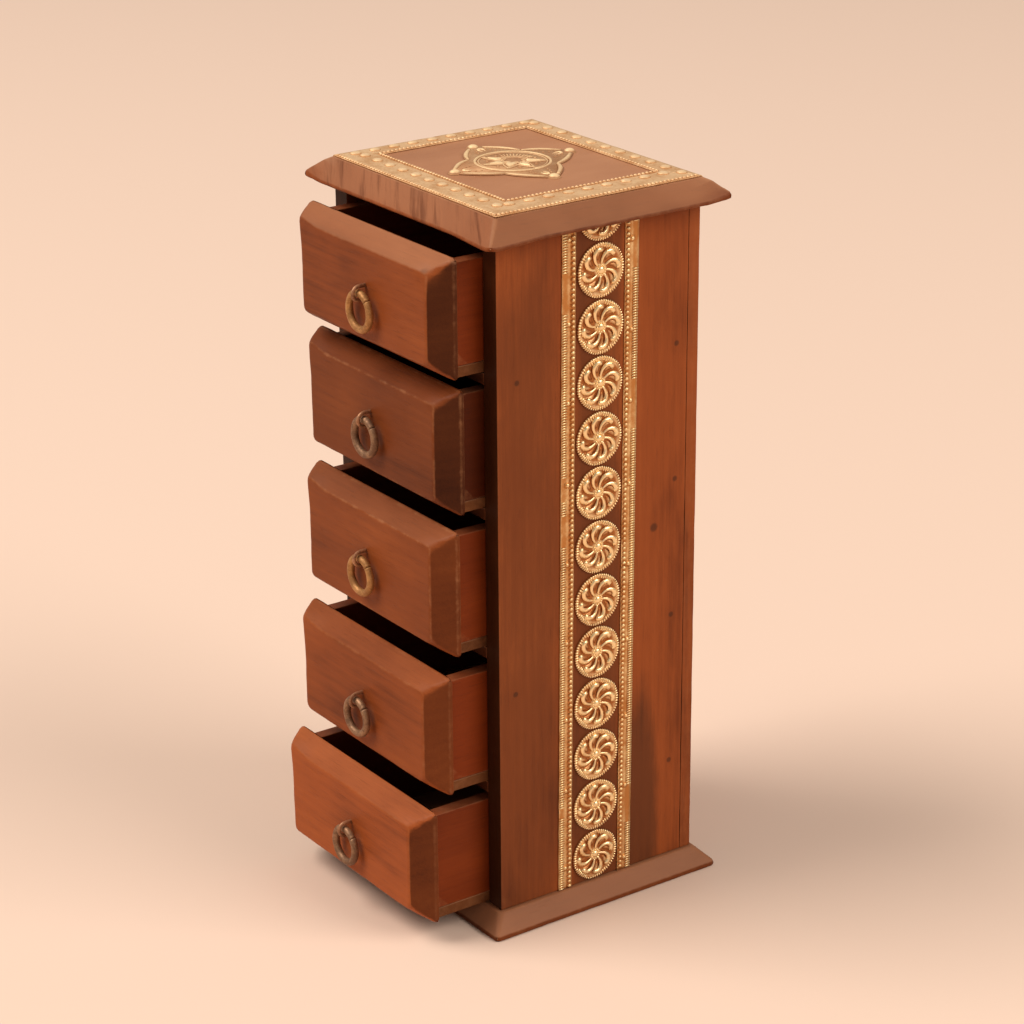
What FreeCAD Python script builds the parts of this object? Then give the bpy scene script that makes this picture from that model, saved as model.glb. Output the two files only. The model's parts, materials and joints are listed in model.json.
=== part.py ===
import FreeCAD, Part
import math
import os
import re
import Sketcher
from FreeCAD import Placement, Rotation, Vector

# A narrow chest of five small drawers, in stained wood with pressed brass trim. Millimetres.
# The origin is the middle of the base's underside. +Z is up, the drawers open towards -Y and
# +X is the chest's own right side for someone who faces it.
# Drawers are counted from the top down, and each stands ajar by its own amount.

DRAWERS = ("1", "2", "3", "4", "5")
TOP_DRAWER = DRAWERS[0]

DIMENSIONS = {
    # the carcass
    "carcass_width": 114,
    "carcass_depth": 99,
    "side_thickness": 9,
    "back_thickness": 5.5,
    "shelf_thickness": 5,
    "compartment_1": 54.9,
    "compartment_2": 51.2,
    "compartment_3": 54.8,
    "compartment_4": 54.9,
    "compartment_5": 50.6,
    # the overhanging top and base, each with a square land and a wide bevel
    "top_overhang": 9,
    "top_thickness": 9.5,
    "top_land": 1.6,
    "top_bevel": 8.8,
    "base_overhang": 8,
    "base_thickness": 9.1,
    "base_land": 2.4,
    "base_bevel": 6.6,
    # the drawer fronts, bevelled on all four sides
    "front_lip": 4.5,
    "front_thickness": 10.4,
    "front_land": 2,
    "front_bevel_side": 7.2,
    "front_bevel_end": 5.8,
    "front_lift": 0.7,
    "front_gap_1": 5.2,
    "front_gap_2": 4.3,
    "front_gap_3": 6.3,
    "front_gap_4": 7.9,
    "front_gap_5": 5.6,
    "ajar_1": 13.9,
    "ajar_2": 11.5,
    "ajar_3": 14.3,
    "ajar_4": 18.8,
    "ajar_5": 27,
    # the drawer boxes
    "drawer_length": 90,
    "drawer_wall": 6,
    "drawer_floor": 4.6,
    "wall_drop": 3,
    "headroom": 1.5,
    "runner_gap": 0.3,
    "side_play": 0.5,
    # the ring pulls and the staples that they hang from
    "ring_diameter": 18,
    "ring_wire": 3.2,
    "ring_play": 0.35,
    "staple_wire": 1.6,
    "staple_reach": 2.9,
    "staple_depth": 7,
    "pull_shift_1": 2.6,
    "pull_shift_2": 0.2,
    "pull_shift_3": -1.2,
    "pull_shift_4": 0.1,
    "pull_shift_5": 1.5,
    "pull_rise_1": 0.9,
    "pull_rise_2": 2.2,
    "pull_rise_3": 1.7,
    "pull_rise_4": 0.9,
    "pull_rise_5": 1.1,
    # the brass on the sides: a column of rosettes between two edge strips
    "trim_sheet": 0.5,
    "trim_setback": 48.2,
    "trim_gap": 0.3,
    "strip_width": 6.8,
    "strip_bead": 1.8,
    "rosette_pitch": 23,
    "rosette_overlap": 0.2,
    "rosette_foot": 0.2,
    "rosette_serration": 0.5,
    "rosette_hub": 4.2,
    "petal_height": 1.1,
    "petal_root": 2.2,
    "petal_reach": 9.7,
    "petal_hook": 3.7,
    # the brass on the top: a border of four strips, of which two are folded over the edge
    "border_front": 16.7,
    "border_right": 16.3,
    "border_rear": 10.9,
    "border_left": 10.8,
    "border_flap": 5.6,
    "border_bead": 1.6,
    "medallion_shift_x": 4.7,
    "medallion_shift_y": 2.4,
    "medallion_corner": 31,
    "medallion_notch": 18.4,
    "medallion_curve": 32,
    "medallion_ring": 16.2,
    "medallion_ring_width": 1.6,
    "medallion_relief": 1.2,
    "medallion_petal_root": 3.4,
    "medallion_petal_tip": 13.4,
    "medallion_petal_curve": 7.6,
}

ROSETTE_PETALS = 8
ROSETTE_TEETH = 8
MEDALLION_PETALS = 8

doc = FreeCAD.newDocument("drawer_chest")
sizes = doc.addObject("Spreadsheet::Sheet", "sizes")
for row, (name, number) in enumerate(DIMENSIONS.items(), start=1):
    sizes.set(f"A{row}", name.replace("_", " "))
    sizes.set(f"B{row}", str(number))
    sizes.setAlias(f"B{row}", name)
doc.recompute()

SIZE_NAMES = re.compile(r"\b(" + "|".join(DIMENSIONS) + r")\b")


# Tying geometry to the sheet


def in_sheet(formula):
    """The formula with every size read from the sheet."""
    return SIZE_NAMES.sub(r"sizes.\1", formula)


def bind(thing, path, formula):
    thing.setExpression(path, in_sheet(formula))


def measure(formula):
    """The number that a formula comes to, for a first sketch of the geometry."""
    return float(sizes.evalExpression(in_sheet(formula)))


def place(body, x, y, z, turn=0, axis=Vector(0, 0, 1)):
    """Stand a body at x, y, z, turned by some degrees about an axis."""
    body.Placement = Placement(Vector(0, 0, 0), Rotation(axis, turn))
    for letter, formula in zip("xyz", (x, y, z)):
        bind(body, f"Placement.Base.{letter}", formula)


# Bodies, sketches and features

subparts = []


def new_body(label):
    body = doc.addObject("PartDesign::Body", label)
    body.Label = label
    subparts.append(body)
    return body


def origin_feature(body, role):
    return next(f for f in body.Origin.OriginFeatures if f.Role == role)


def new_sketch(body, plane, name, lift="0"):
    """A sketch on one of the body's own planes, lifted along the plane's normal."""
    sketch = body.newObject("Sketcher::SketchObject", f"{body.Label}_{name}")
    sketch.AttachmentSupport = [(origin_feature(body, plane), "")]
    sketch.MapMode = "FlatFace"
    bind(sketch, "AttachmentOffset.Base.z", lift)
    return sketch


def dimension(sketch, kind, points, formula):
    """A distance or radius of a sketch, tied to a formula."""
    constraint = Sketcher.Constraint(kind, *points, measure(formula))
    index = sketch.addConstraint(constraint)
    sketch.renameConstraint(index, f"size_{index}")
    bind(sketch, f"Constraints.size_{index}", formula)


def locate(sketch, geometry, end, across, up):
    """Hold a point at its distances from the sketch's axes; a leading minus is the other side."""
    for kind, formula, axis in (("DistanceX", across, -2), ("DistanceY", up, -1)):
        if formula == "0":
            sketch.addConstraint(Sketcher.Constraint("PointOnObject", geometry, end, axis))
        elif formula.startswith("-"):
            dimension(sketch, kind, (geometry, end, -1, 1), formula[1:])
        else:
            dimension(sketch, kind, (-1, 1, geometry, end), formula)


def point(across, up):
    return Vector(measure(across), measure(up), 0)


def rectangle(sketch, width, height):
    """A rectangle centred on the sketch's origin."""
    right, top = measure(width) / 2, measure(height) / 2
    corners = [Vector(-right, -top), Vector(right, -top), Vector(right, top), Vector(-right, top)]
    for start, finish in zip(corners, corners[1:] + corners[:1]):
        sketch.addGeometry(Part.LineSegment(start, finish))
    for line in range(4):
        sketch.addConstraint(Sketcher.Constraint("Coincident", line, 2, (line + 1) % 4, 1))
        direction = "Vertical" if line % 2 else "Horizontal"
        sketch.addConstraint(Sketcher.Constraint(direction, line))
    sketch.addConstraint(Sketcher.Constraint("Symmetric", 0, 1, 1, 2, -1, 1))
    dimension(sketch, "DistanceX", (0, 1, 0, 2), width)
    dimension(sketch, "DistanceY", (1, 1, 1, 2), height)


def outline(sketch, corners):
    """A closed outline of straight lines through corners given as pairs of formulas."""
    first = sketch.GeometryCount
    points = [point(*corner) for corner in corners]
    for start, finish in zip(points, points[1:] + points[:1]):
        sketch.addGeometry(Part.LineSegment(start, finish))
    for line in range(len(corners)):
        after = first + (line + 1) % len(corners)
        sketch.addConstraint(Sketcher.Constraint("Coincident", first + line, 2, after, 1))
        locate(sketch, first + line, 1, *corners[line])


def signed(radius, wave, angle):
    """One coordinate of a point on a circle, in the form that locate takes."""
    quarter = angle % 360 / 90
    negative = 1 < quarter < 3 if wave == "cos" else quarter > 2
    zero = quarter in (1, 3) if wave == "cos" else quarter in (0, 2)
    if zero:
        return "0"
    return ("-" if negative else "") + f"({radius} * abs({wave}({angle} deg)))"


def on_circle(radius, angles):
    """Points on a circle about the sketch's origin, in the form that outline takes."""
    return [(signed(radius, "cos", angle), signed(radius, "sin", angle)) for angle in angles]


def wire_section(sketch, width, up):
    """A wire's section: an octagon of that width across its flats, above the origin."""
    half, side = f"{width} / 2", f"{width} * (sqrt(2) - 1) / 2"
    near, far = f"-({half})", f"-({side})"
    outline(
        sketch,
        [
            (far, f"{up} - {half}"),
            (side, f"{up} - {half}"),
            (half, f"{up} - {side}"),
            (half, f"{up} + {side}"),
            (side, f"{up} + {half}"),
            (far, f"{up} + {half}"),
            (near, f"{up} + {side}"),
            (near, f"{up} - {side}"),
        ],
    )


def feature(body, kind, name, **settings):
    made = body.newObject(f"PartDesign::{kind}", f"{body.Label}_{name}")
    for setting, value in settings.items():
        setattr(made, setting, value)
    body.Tip = made
    return made


def pad(body, sketch, length, name="pad", **settings):
    made = feature(body, "Pad", name, Profile=sketch, **settings)
    bind(made, "Length", length)
    return made


def cut_through(body, sketch, name, **settings):
    """Cut a sketch's outlines right through, both ways from its plane."""
    feature(body, "Pocket", name, Profile=sketch, Type="ThroughAll", Midplane=True, **settings)


def copy_of(original, label, x, y, z, turn=0):
    """A second piece like the first, turned about the upright line through the origin and moved."""
    copy = doc.addObject("Part::Compound", label)
    copy.Label = label
    copy.Links = [original]
    place(copy, x, y, z, turn)
    subparts.append(copy)


# Heights and widths that several pieces share

COMPARTMENTS = " + ".join(f"compartment_{n}" for n in DRAWERS)
SIDE_HEIGHT = f"{COMPARTMENTS} + {len(DRAWERS) - 1} * shelf_thickness"
TOP_OF_CARCASS = f"base_thickness + {SIDE_HEIGHT}"
PANEL_DEPTH = "(carcass_depth - back_thickness)"
INNER_WIDTH = "(carcass_width - 2 * side_thickness)"
BOX_WIDTH = f"({INNER_WIDTH} - 2 * side_play)"
FRONT_WIDTH = f"({BOX_WIDTH} + 2 * front_lip)"
FRONT_OF_CARCASS = "-(carcass_depth / 2)"


def runner_height(drawer):
    """Top of the board that a drawer slides on: the base, or the shelf below it."""
    below = [f"compartment_{n} + shelf_thickness" for n in DRAWERS if n > drawer]
    return " + ".join(["base_thickness"] + below)


def front_height(drawer):
    """A front reaches up to its gap below the next front, or below the top board."""
    if drawer == TOP_DRAWER:
        return "(compartment_1 - front_lift - front_gap_1)"
    return f"(compartment_{drawer} + shelf_thickness - front_gap_{drawer})"


def wall_height(drawer):
    """Drawer walls stop below their front's top edge and below the board above them."""
    under_front = f"front_lift + {front_height(drawer)} - wall_drop"
    under_board = f"compartment_{drawer} - headroom"
    return f"(min({under_front}; {under_board}) - runner_gap - drawer_floor)"


# Boards


def board(label, width, depth, height, x, y, z):
    """A plain board, centred on x and y and standing on z."""
    body = new_body(label)
    plan = new_sketch(body, "XY_Plane", "plan")
    rectangle(plan, width, depth)
    pad(body, plan, height)
    place(body, x, y, z)
    return body


def cut_bevels(body, plane, length, bevel, land, thickness):
    """Slope the same bevel off two opposite edges of a board, from its face down to the land."""
    section = new_sketch(body, plane, f"{plane}_bevels")
    for sign in ("", "-"):
        edge = f"{sign}({length} / 2)"
        arris = f"{sign}({length} / 2 - {bevel})"
        outline(section, [(edge, land), (edge, thickness), (arris, thickness)])
    cut_through(body, section, f"{plane}_slopes")


def bevelled_board(label, width, depth, thickness, land, side_bevel, end_bevel):
    """A board that lies face up, its face raised by a bevel all round above a square land."""
    body = new_body(label)
    plan = new_sketch(body, "XY_Plane", "plan")
    rectangle(plan, width, depth)
    pad(body, plan, thickness)
    cut_bevels(body, "XZ_Plane", width, side_bevel, land, thickness)
    cut_bevels(body, "YZ_Plane", depth, end_bevel, land, thickness)
    return body


def build_carcass():
    for label, overhang, thickness, land, bevel, z in (
        ("base_board", "base_overhang", "base_thickness", "base_land", "base_bevel", "0"),
        ("top_board", "top_overhang", "top_thickness", "top_land", "top_bevel", TOP_OF_CARCASS),
    ):
        width = f"(carcass_width + 2 * {overhang})"
        depth = f"(carcass_depth + 2 * {overhang})"
        body = bevelled_board(label, width, depth, thickness, land, bevel, bevel)
        place(body, "0", "0", z)
    panel_middle = "-(back_thickness / 2)"
    for side, sign in (("left", "-"), ("right", "")):
        x = f"{sign}(carcass_width - side_thickness) / 2"
        board(
            f"side_panel_{side}", "side_thickness", PANEL_DEPTH, SIDE_HEIGHT,
            x, panel_middle, "base_thickness",
        )
    rear = "(carcass_depth - back_thickness) / 2"
    board("back_panel", "carcass_width", "back_thickness", SIDE_HEIGHT, "0", rear, "base_thickness")
    for shelf in DRAWERS[:-1]:
        z = f"{runner_height(shelf)} - shelf_thickness"
        board(f"shelf_{shelf}", INNER_WIDTH, PANEL_DEPTH, "shelf_thickness", "0", panel_middle, z)


# Drawers


def build_drawer(drawer):
    """Front, two sides, back and floor of one drawer, standing ajar."""
    name = f"drawer_{drawer}"
    front_back = f"{FRONT_OF_CARCASS} - ajar_{drawer}"
    floor = f"{runner_height(drawer)} + runner_gap"
    height = front_height(drawer)
    front = bevelled_board(
        f"{name}_front", FRONT_WIDTH, height, "front_thickness",
        "front_land", "front_bevel_side", "front_bevel_end",
    )
    front_middle = f"{runner_height(drawer)} + front_lift + {height} / 2"
    place(front, "0", front_back, front_middle, 90, Vector(1, 0, 0))
    on_floor = f"{floor} + drawer_floor"
    middle = f"{front_back} + drawer_length / 2"
    for side, sign in (("left", "-"), ("right", "")):
        x = f"{sign}({BOX_WIDTH} - drawer_wall) / 2"
        board(
            f"{name}_side_{side}", "drawer_wall", "drawer_length", wall_height(drawer),
            x, middle, on_floor,
        )
    rear = f"{front_back} + drawer_length - drawer_wall / 2"
    inside = f"({BOX_WIDTH} - 2 * drawer_wall)"
    board(f"{name}_back", inside, "drawer_wall", wall_height(drawer), "0", rear, on_floor)
    board(f"{name}_floor", BOX_WIDTH, "drawer_length", "drawer_floor", "0", middle, floor)


# Pulls. Wires are octagons swept along short straight steps.

FULL_TURN = 360
RING_STEPS = 24
BOW_STEPS = 8
SEAM_DEGREES = 2
SEAM_AT_DEGREES = 42
RING_STEP = (FULL_TURN - SEAM_DEGREES) / RING_STEPS
RING_RADIUS = "((ring_diameter - ring_wire) / 2)"
RING_HALF_DIAGONAL = f"(ring_wire / 2 / cos({180 / 8} deg))"
STAPLE_RADIUS = f"({RING_HALF_DIAGONAL} + ring_play + staple_wire / 2)"


def eye_y(drawer):
    return f"({FRONT_OF_CARCASS} - ajar_{drawer} - front_thickness - staple_reach)"


def eye_z(drawer):
    return f"({runner_height(drawer)} + front_lift + {front_height(drawer)} / 2 + pull_rise_{drawer})"


def bent_wire(label, section_plane, section_lift, width, away, path):
    """A wire swept from its section along a path on the YZ plane, with mitred bends."""
    body = new_body(label)
    section = new_sketch(body, section_plane, "section", section_lift)
    wire_section(section, width, away)
    spine = new_sketch(body, "YZ_Plane", "path")
    points = [point(*place_on_path) for place_on_path in path]
    for line, (start, finish) in enumerate(zip(points, points[1:])):
        spine.addGeometry(Part.LineSegment(start, finish))
        locate(spine, line, 1, *path[line])
        if line:
            spine.addConstraint(Sketcher.Constraint("Coincident", line - 1, 2, line, 1))
    locate(spine, len(points) - 2, 2, *path[-1])
    steps = [f"Edge{line + 1}" for line in range(len(points) - 1)]
    feature(
        body, "AdditivePipe", "wire", Profile=section, Spine=(spine, steps),
        Transition="Right corner",
    )
    return body


def build_pulls():
    """A staple driven into each front, and the ring with a butt seam that hangs in it."""
    leg = "staple_reach + staple_depth"
    bow = on_circle(STAPLE_RADIUS, [90 + 180 / BOW_STEPS * step for step in range(BOW_STEPS + 1)])
    path = [(leg, STAPLE_RADIUS)] + bow + [(leg, f"-{STAPLE_RADIUS}")]
    staple = bent_wire(
        f"drawer_{TOP_DRAWER}_pull_staple", "XZ_Plane", f"-({leg})", "staple_wire", STAPLE_RADIUS, path
    )
    place(staple, f"pull_shift_{TOP_DRAWER}", eye_y(TOP_DRAWER), eye_z(TOP_DRAWER))
    angles = [RING_STEP * (step - 0.5) for step in range(RING_STEPS + 1)]
    first = f"{RING_RADIUS} * cos({RING_STEP / 2} deg)"
    below = f"-({RING_RADIUS} * sin({RING_STEP / 2} deg))"
    path = on_circle(RING_RADIUS, angles)
    ring = bent_wire(
        f"drawer_{TOP_DRAWER}_pull_ring", "XY_Plane", below, "ring_wire", first, path
    )
    seam_turn = SEAM_AT_DEGREES + (RING_STEP + SEAM_DEGREES) / 2
    facing = Rotation(Vector(0, 0, 1), -90)
    ring.Placement = Placement(Vector(0, 0, 0), Rotation(Vector(0, 1, 0), -seam_turn) * facing)
    bind(ring, "Placement.Base.x", f"pull_shift_{TOP_DRAWER}")
    bind(ring, "Placement.Base.y", eye_y(TOP_DRAWER))
    bind(ring, "Placement.Base.z", f"{eye_z(TOP_DRAWER)} - {RING_RADIUS}")
    for drawer in DRAWERS[1:]:
        shift = (
            f"pull_shift_{drawer} - pull_shift_{TOP_DRAWER}",
            f"{eye_y(drawer)} - {eye_y(TOP_DRAWER)}",
            f"{eye_z(drawer)} - {eye_z(TOP_DRAWER)}",
        )
        copy_of(staple, f"drawer_{drawer}_pull_staple", *shift)
        copy_of(ring, f"drawer_{drawer}_pull_ring", *shift)


# Brass on the two sides


def half_round(sketch, start, finish):
    """Half a circle on a straight edge, bulging to the right of the way from start to finish."""
    low, high = point(*start), point(*finish)
    radius = (high - low).Length / 2
    begins = math.atan2(low.y - high.y, low.x - high.x)
    circle = Part.Circle((low + high) / 2, Vector(0, 0, 1), radius)
    sketch.addGeometry(Part.ArcOfCircle(circle, begins, begins + math.pi))
    sketch.addGeometry(Part.LineSegment(high, low))
    sketch.addConstraint(Sketcher.Constraint("Coincident", 0, 2, 1, 1))
    sketch.addConstraint(Sketcher.Constraint("Coincident", 0, 1, 1, 2))
    locate(sketch, 1, 1, *finish)
    locate(sketch, 1, 2, *start)
    sketch.addConstraint(Sketcher.Constraint("PointOnObject", 0, 3, 1))


def edge_strip(label, x, y, sign, turn):
    """A strip of sheet, lying forward or back from its beaded edge, which faces the rosettes."""
    body = new_body(label)
    far = f"{sign}strip_width"
    section = new_sketch(body, "XY_Plane", "section")
    outline(section, [("0", "0"), ("trim_sheet", "0"), ("trim_sheet", far), ("0", far)])
    pad(body, section, SIDE_HEIGHT, "sheet")
    bead = new_sketch(body, "XY_Plane", "bead")
    ends = [("trim_sheet", "0"), ("trim_sheet", f"{sign}strip_bead")]
    half_round(bead, *(reversed(ends) if sign else ends))
    pad(body, bead, SIDE_HEIGHT, "bead")
    place(body, x, y, "base_thickness", turn)


ROSETTE_DIAMETER = "(rosette_pitch + rosette_overlap)"
FIRST_ROSETTE = f"({ROSETTE_DIAMETER} / 2 + rosette_foot)"
PETAL = [
    ("0", "petal_root"),
    ("-(petal_hook * 0.12)", "petal_root + (petal_reach - petal_root) * 0.48"),
    ("petal_hook * 0.27", "petal_reach - petal_hook * 0.12"),
    ("petal_hook * 0.88", "petal_reach"),
    ("petal_hook", "petal_reach - petal_hook * 0.48"),
    ("petal_hook * 0.3", "petal_root + (petal_reach - petal_root) * 0.54"),
]


def toothed_rim():
    """Corners of a rosette's rim, in turn on its outer circle and a little inside it."""
    step = 180 / ROSETTE_TEETH
    angles = [2 * step * tooth for tooth in range(ROSETTE_TEETH)]
    tips = on_circle(f"({ROSETTE_DIAMETER} / 2)", angles)
    root_radius = f"({ROSETTE_DIAMETER} / 2 - rosette_serration)"
    roots = on_circle(root_radius, [step + angle for angle in angles])
    return [corner for pair in zip(tips, roots) for corner in pair]


def rosette_strip(label, x, y):
    """Whirling rosettes punched from one length of sheet; the top board cuts off the last."""
    body = new_body(label)
    disc = new_sketch(body, "YZ_Plane", "disc")
    outline(disc, toothed_rim())
    pad(body, disc, "trim_sheet", "disc")
    hub = new_sketch(body, "YZ_Plane", "hub", "trim_sheet")
    outline(hub, on_circle("(rosette_hub / 2)", range(0, 360, 45)))
    pad(body, hub, "petal_height", "hub")
    petal = new_sketch(body, "YZ_Plane", "petal", "trim_sheet")
    outline(petal, PETAL)
    raised = pad(body, petal, "petal_height", "petal")
    feature(
        body, "PolarPattern", "whirl", Originals=[raised], Axis=(petal, ["N_Axis"]),
        Angle=360, Occurrences=ROSETTE_PETALS,
    )
    doc.recompute()
    column = feature(
        body, "LinearPattern", "column", TransformMode="Whole shape", Mode="Spacing",
        Direction=(origin_feature(body, "Z_Axis"), [""]), Refine=False,
    )
    bind(column, "Offset", "rosette_pitch")
    bind(column, "Occurrences", f"ceil(({SIDE_HEIGHT}) / rosette_pitch)")
    above = new_sketch(body, "YZ_Plane", "above_side")
    bind(above, "AttachmentOffset.Base.y", f"{SIDE_HEIGHT} - {FIRST_ROSETTE} + {ROSETTE_DIAMETER}")
    rectangle(above, f"2 * {ROSETTE_DIAMETER}", f"2 * {ROSETTE_DIAMETER}")
    cut_through(body, above, "cut_at_top", Refine=False)
    place(body, x, y, f"base_thickness + {FIRST_ROSETTE}")
    return body


def build_side_trim():
    """The same brass on both sides; the left side's is the right side's turned half round."""
    column = f"{FRONT_OF_CARCASS} + trim_setback"
    to_strip = f"({ROSETTE_DIAMETER} / 2 + trim_gap)"
    face = "carcass_width / 2"
    rosettes = rosette_strip("rosette_strip_right", face, column)
    copy_of(rosettes, "rosette_strip_left", "0", f"2 * ({column})", "0", 180)
    edge_strip("edge_strip_right_front", face, f"{column} - {to_strip}", "-", 0)
    edge_strip("edge_strip_right_rear", face, f"{column} + {to_strip}", "", 0)
    edge_strip("edge_strip_left_front", f"-{face}", f"{column} - {to_strip}", "", 180)
    edge_strip("edge_strip_left_rear", f"-{face}", f"{column} + {to_strip}", "-", 180)


# Brass on the top

TOP_OF_CHEST = f"{TOP_OF_CARCASS} + top_thickness"
FACE_WIDTH = "(carcass_width + 2 * top_overhang - 2 * top_bevel)"
FACE_DEPTH = "(carcass_depth + 2 * top_overhang - 2 * top_bevel)"
BEVEL_DROP = "(top_thickness - top_land)"
BEVEL_SLANT = f"sqrt(top_bevel * top_bevel + {BEVEL_DROP} * {BEVEL_DROP})"
FLAP_OUT = f"(border_flap * top_bevel / {BEVEL_SLANT})"
FLAP_DOWN = f"(border_flap * {BEVEL_DROP} / {BEVEL_SLANT})"
SHEET_OUT = f"(trim_sheet * {BEVEL_DROP} / {BEVEL_SLANT})"
SHEET_UP = f"(trim_sheet * top_bevel / {BEVEL_SLANT})"
FOLD_OUT = f"(trim_sheet * {BEVEL_DROP} / ({BEVEL_SLANT} + top_bevel))"


def border_strip(label, length, width, first_mitre, last_mitre, folded, x, y, turn):
    """One side of the border, mitred at both ends. Its outer edge may be folded down the bevel."""
    body = new_body(label)
    section = new_sketch(body, "YZ_Plane", "section")
    inner = [("0", "0"), (width, "0"), (width, "trim_sheet")]
    flat_edge = [("0", "trim_sheet")]
    folded_edge = [
        (f"-{FOLD_OUT}", "trim_sheet"),
        (f"-({FLAP_OUT} + {SHEET_OUT})", f"-({FLAP_DOWN} - {SHEET_UP})"),
        (f"-{FLAP_OUT}", f"-{FLAP_DOWN}"),
    ]
    outline(section, inner + (folded_edge if folded else flat_edge))
    pad(body, section, length, "sheet")
    inner_bead = new_sketch(body, "YZ_Plane", "inner_bead")
    half_round(inner_bead, (width, "trim_sheet"), (f"{width} - border_bead", "trim_sheet"))
    pad(body, inner_bead, length, "inner_bead")
    if not folded:
        outer_bead = new_sketch(body, "YZ_Plane", "outer_bead")
        half_round(outer_bead, ("border_bead", "trim_sheet"), ("0", "trim_sheet"))
        pad(body, outer_bead, length, "outer_bead")
    mitres = new_sketch(body, "XY_Plane", "mitres")
    outline(mitres, [("0", "0"), (first_mitre, width), ("0", width)])
    outline(mitres, [(length, "0"), (length, width), (f"{length} - {last_mitre}", width)])
    cut_through(body, mitres, "mitre_cuts")
    place(body, x, y, TOP_OF_CHEST, turn)


def build_border():
    """Four strips round the top. The rear and left ones are set out and folded over the edge."""
    right, rear = f"{FACE_WIDTH} / 2", f"{FACE_DEPTH} / 2"
    border_strip(
        "top_border_front", FACE_WIDTH, "border_front", "border_left", "border_right", False,
        f"-{right}", f"-{rear}", 0,
    )
    border_strip(
        "top_border_right", FACE_DEPTH, "border_right", "border_front", "border_rear", False,
        right, f"-{rear}", 90,
    )
    border_strip(
        "top_border_rear", FACE_WIDTH, "border_rear", "border_right", "border_left", True,
        right, rear, 180,
    )
    border_strip(
        "top_border_left", FACE_DEPTH, "border_left", "border_rear", "border_front", True,
        f"-{right}", rear, 270,
    )


def arc_outline(sketch, corners, radius):
    """A closed outline of arcs of one radius between corners, each bulging outwards."""
    points = [point(*corner) for corner in corners]
    size = measure(radius)
    for start, finish in zip(points, points[1:] + points[:1]):
        half = (finish - start) / 2
        inwards = Vector(-half.y, half.x, 0).normalize()
        centre = start + half + inwards * math.sqrt(size**2 - half.Length**2)
        begins = math.atan2(start.y - centre.y, start.x - centre.x)
        sweep = 2 * math.asin(half.Length / size)
        circle = Part.Circle(centre, Vector(0, 0, 1), size)
        sketch.addGeometry(Part.ArcOfCircle(circle, begins, begins + sweep))
    for arc, corner in enumerate(corners):
        sketch.addConstraint(Sketcher.Constraint("Coincident", arc, 2, (arc + 1) % len(corners), 1))
        locate(sketch, arc, 1, *corner)
        dimension(sketch, "Radius", (arc,), radius)


def build_medallion():
    """A pressed plate of four pointed corners and notched sides, with a ringed flower."""
    body = new_body("top_medallion")
    plate = new_sketch(body, "XY_Plane", "plate")
    points = on_circle("medallion_corner", range(0, 360, 90))
    notches = on_circle("medallion_notch", range(45, 405, 90))
    corners = [corner for pair in zip(points, notches) for corner in pair]
    arc_outline(plate, corners, "medallion_curve")
    pad(body, plate, "trim_sheet", "plate")
    ring = new_sketch(body, "XY_Plane", "ring", "trim_sheet")
    for circle, radius in enumerate(("medallion_ring", "medallion_ring - medallion_ring_width")):
        sketched = Part.Circle(Vector(0, 0, 0), Vector(0, 0, 1), measure(radius))
        ring.addGeometry(sketched)
        ring.addConstraint(Sketcher.Constraint("Coincident", circle, 3, -1, 1))
        dimension(ring, "Radius", (circle,), radius)
    pad(body, ring, "medallion_relief", "ring")
    petal = new_sketch(body, "XY_Plane", "petal", "trim_sheet")
    tips = [("0", "medallion_petal_root"), ("0", "medallion_petal_tip")]
    arc_outline(petal, tips, "medallion_petal_curve")
    raised = pad(body, petal, "medallion_relief", "petal")
    feature(
        body, "PolarPattern", "flower", Originals=[raised], Axis=(petal, ["N_Axis"]),
        Angle=360, Occurrences=MEDALLION_PETALS,
    )
    place(body, "-medallion_shift_x", "medallion_shift_y", TOP_OF_CHEST)


build_carcass()
for drawer in DRAWERS:
    build_drawer(drawer)
build_pulls()
build_side_trim()
build_border()
build_medallion()

doc.recompute()

for thing in doc.Objects:
    if "Invalid" in thing.State or "Error" in thing.State:
        raise RuntimeError(f"{thing.Label} failed: {thing.State}")

os.makedirs("parts", exist_ok=True)
for body in subparts:
    if body.Shape.isNull() or not body.Shape.isValid():
        raise RuntimeError(f"{body.Label} has no valid shape")
    body.Shape.exportStep(f"parts/{body.Label}.step")
print(len(subparts), "sub-parts written")
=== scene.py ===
# %% [markdown]
# # A narrow chest of five small drawers
# The CAD model gives every board, staple and ring its place and size. This lesson dresses it: worn
# stained wood, bent brass wire and pressed brass sheet. Everything is in metres, in the CAD frame:
# the origin is under the middle of the base, +Z is up and the drawers open towards -Y.

import json
import math
import bmesh
import bpy
import numpy as np
from mathutils import Matrix, Vector, noise

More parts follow.
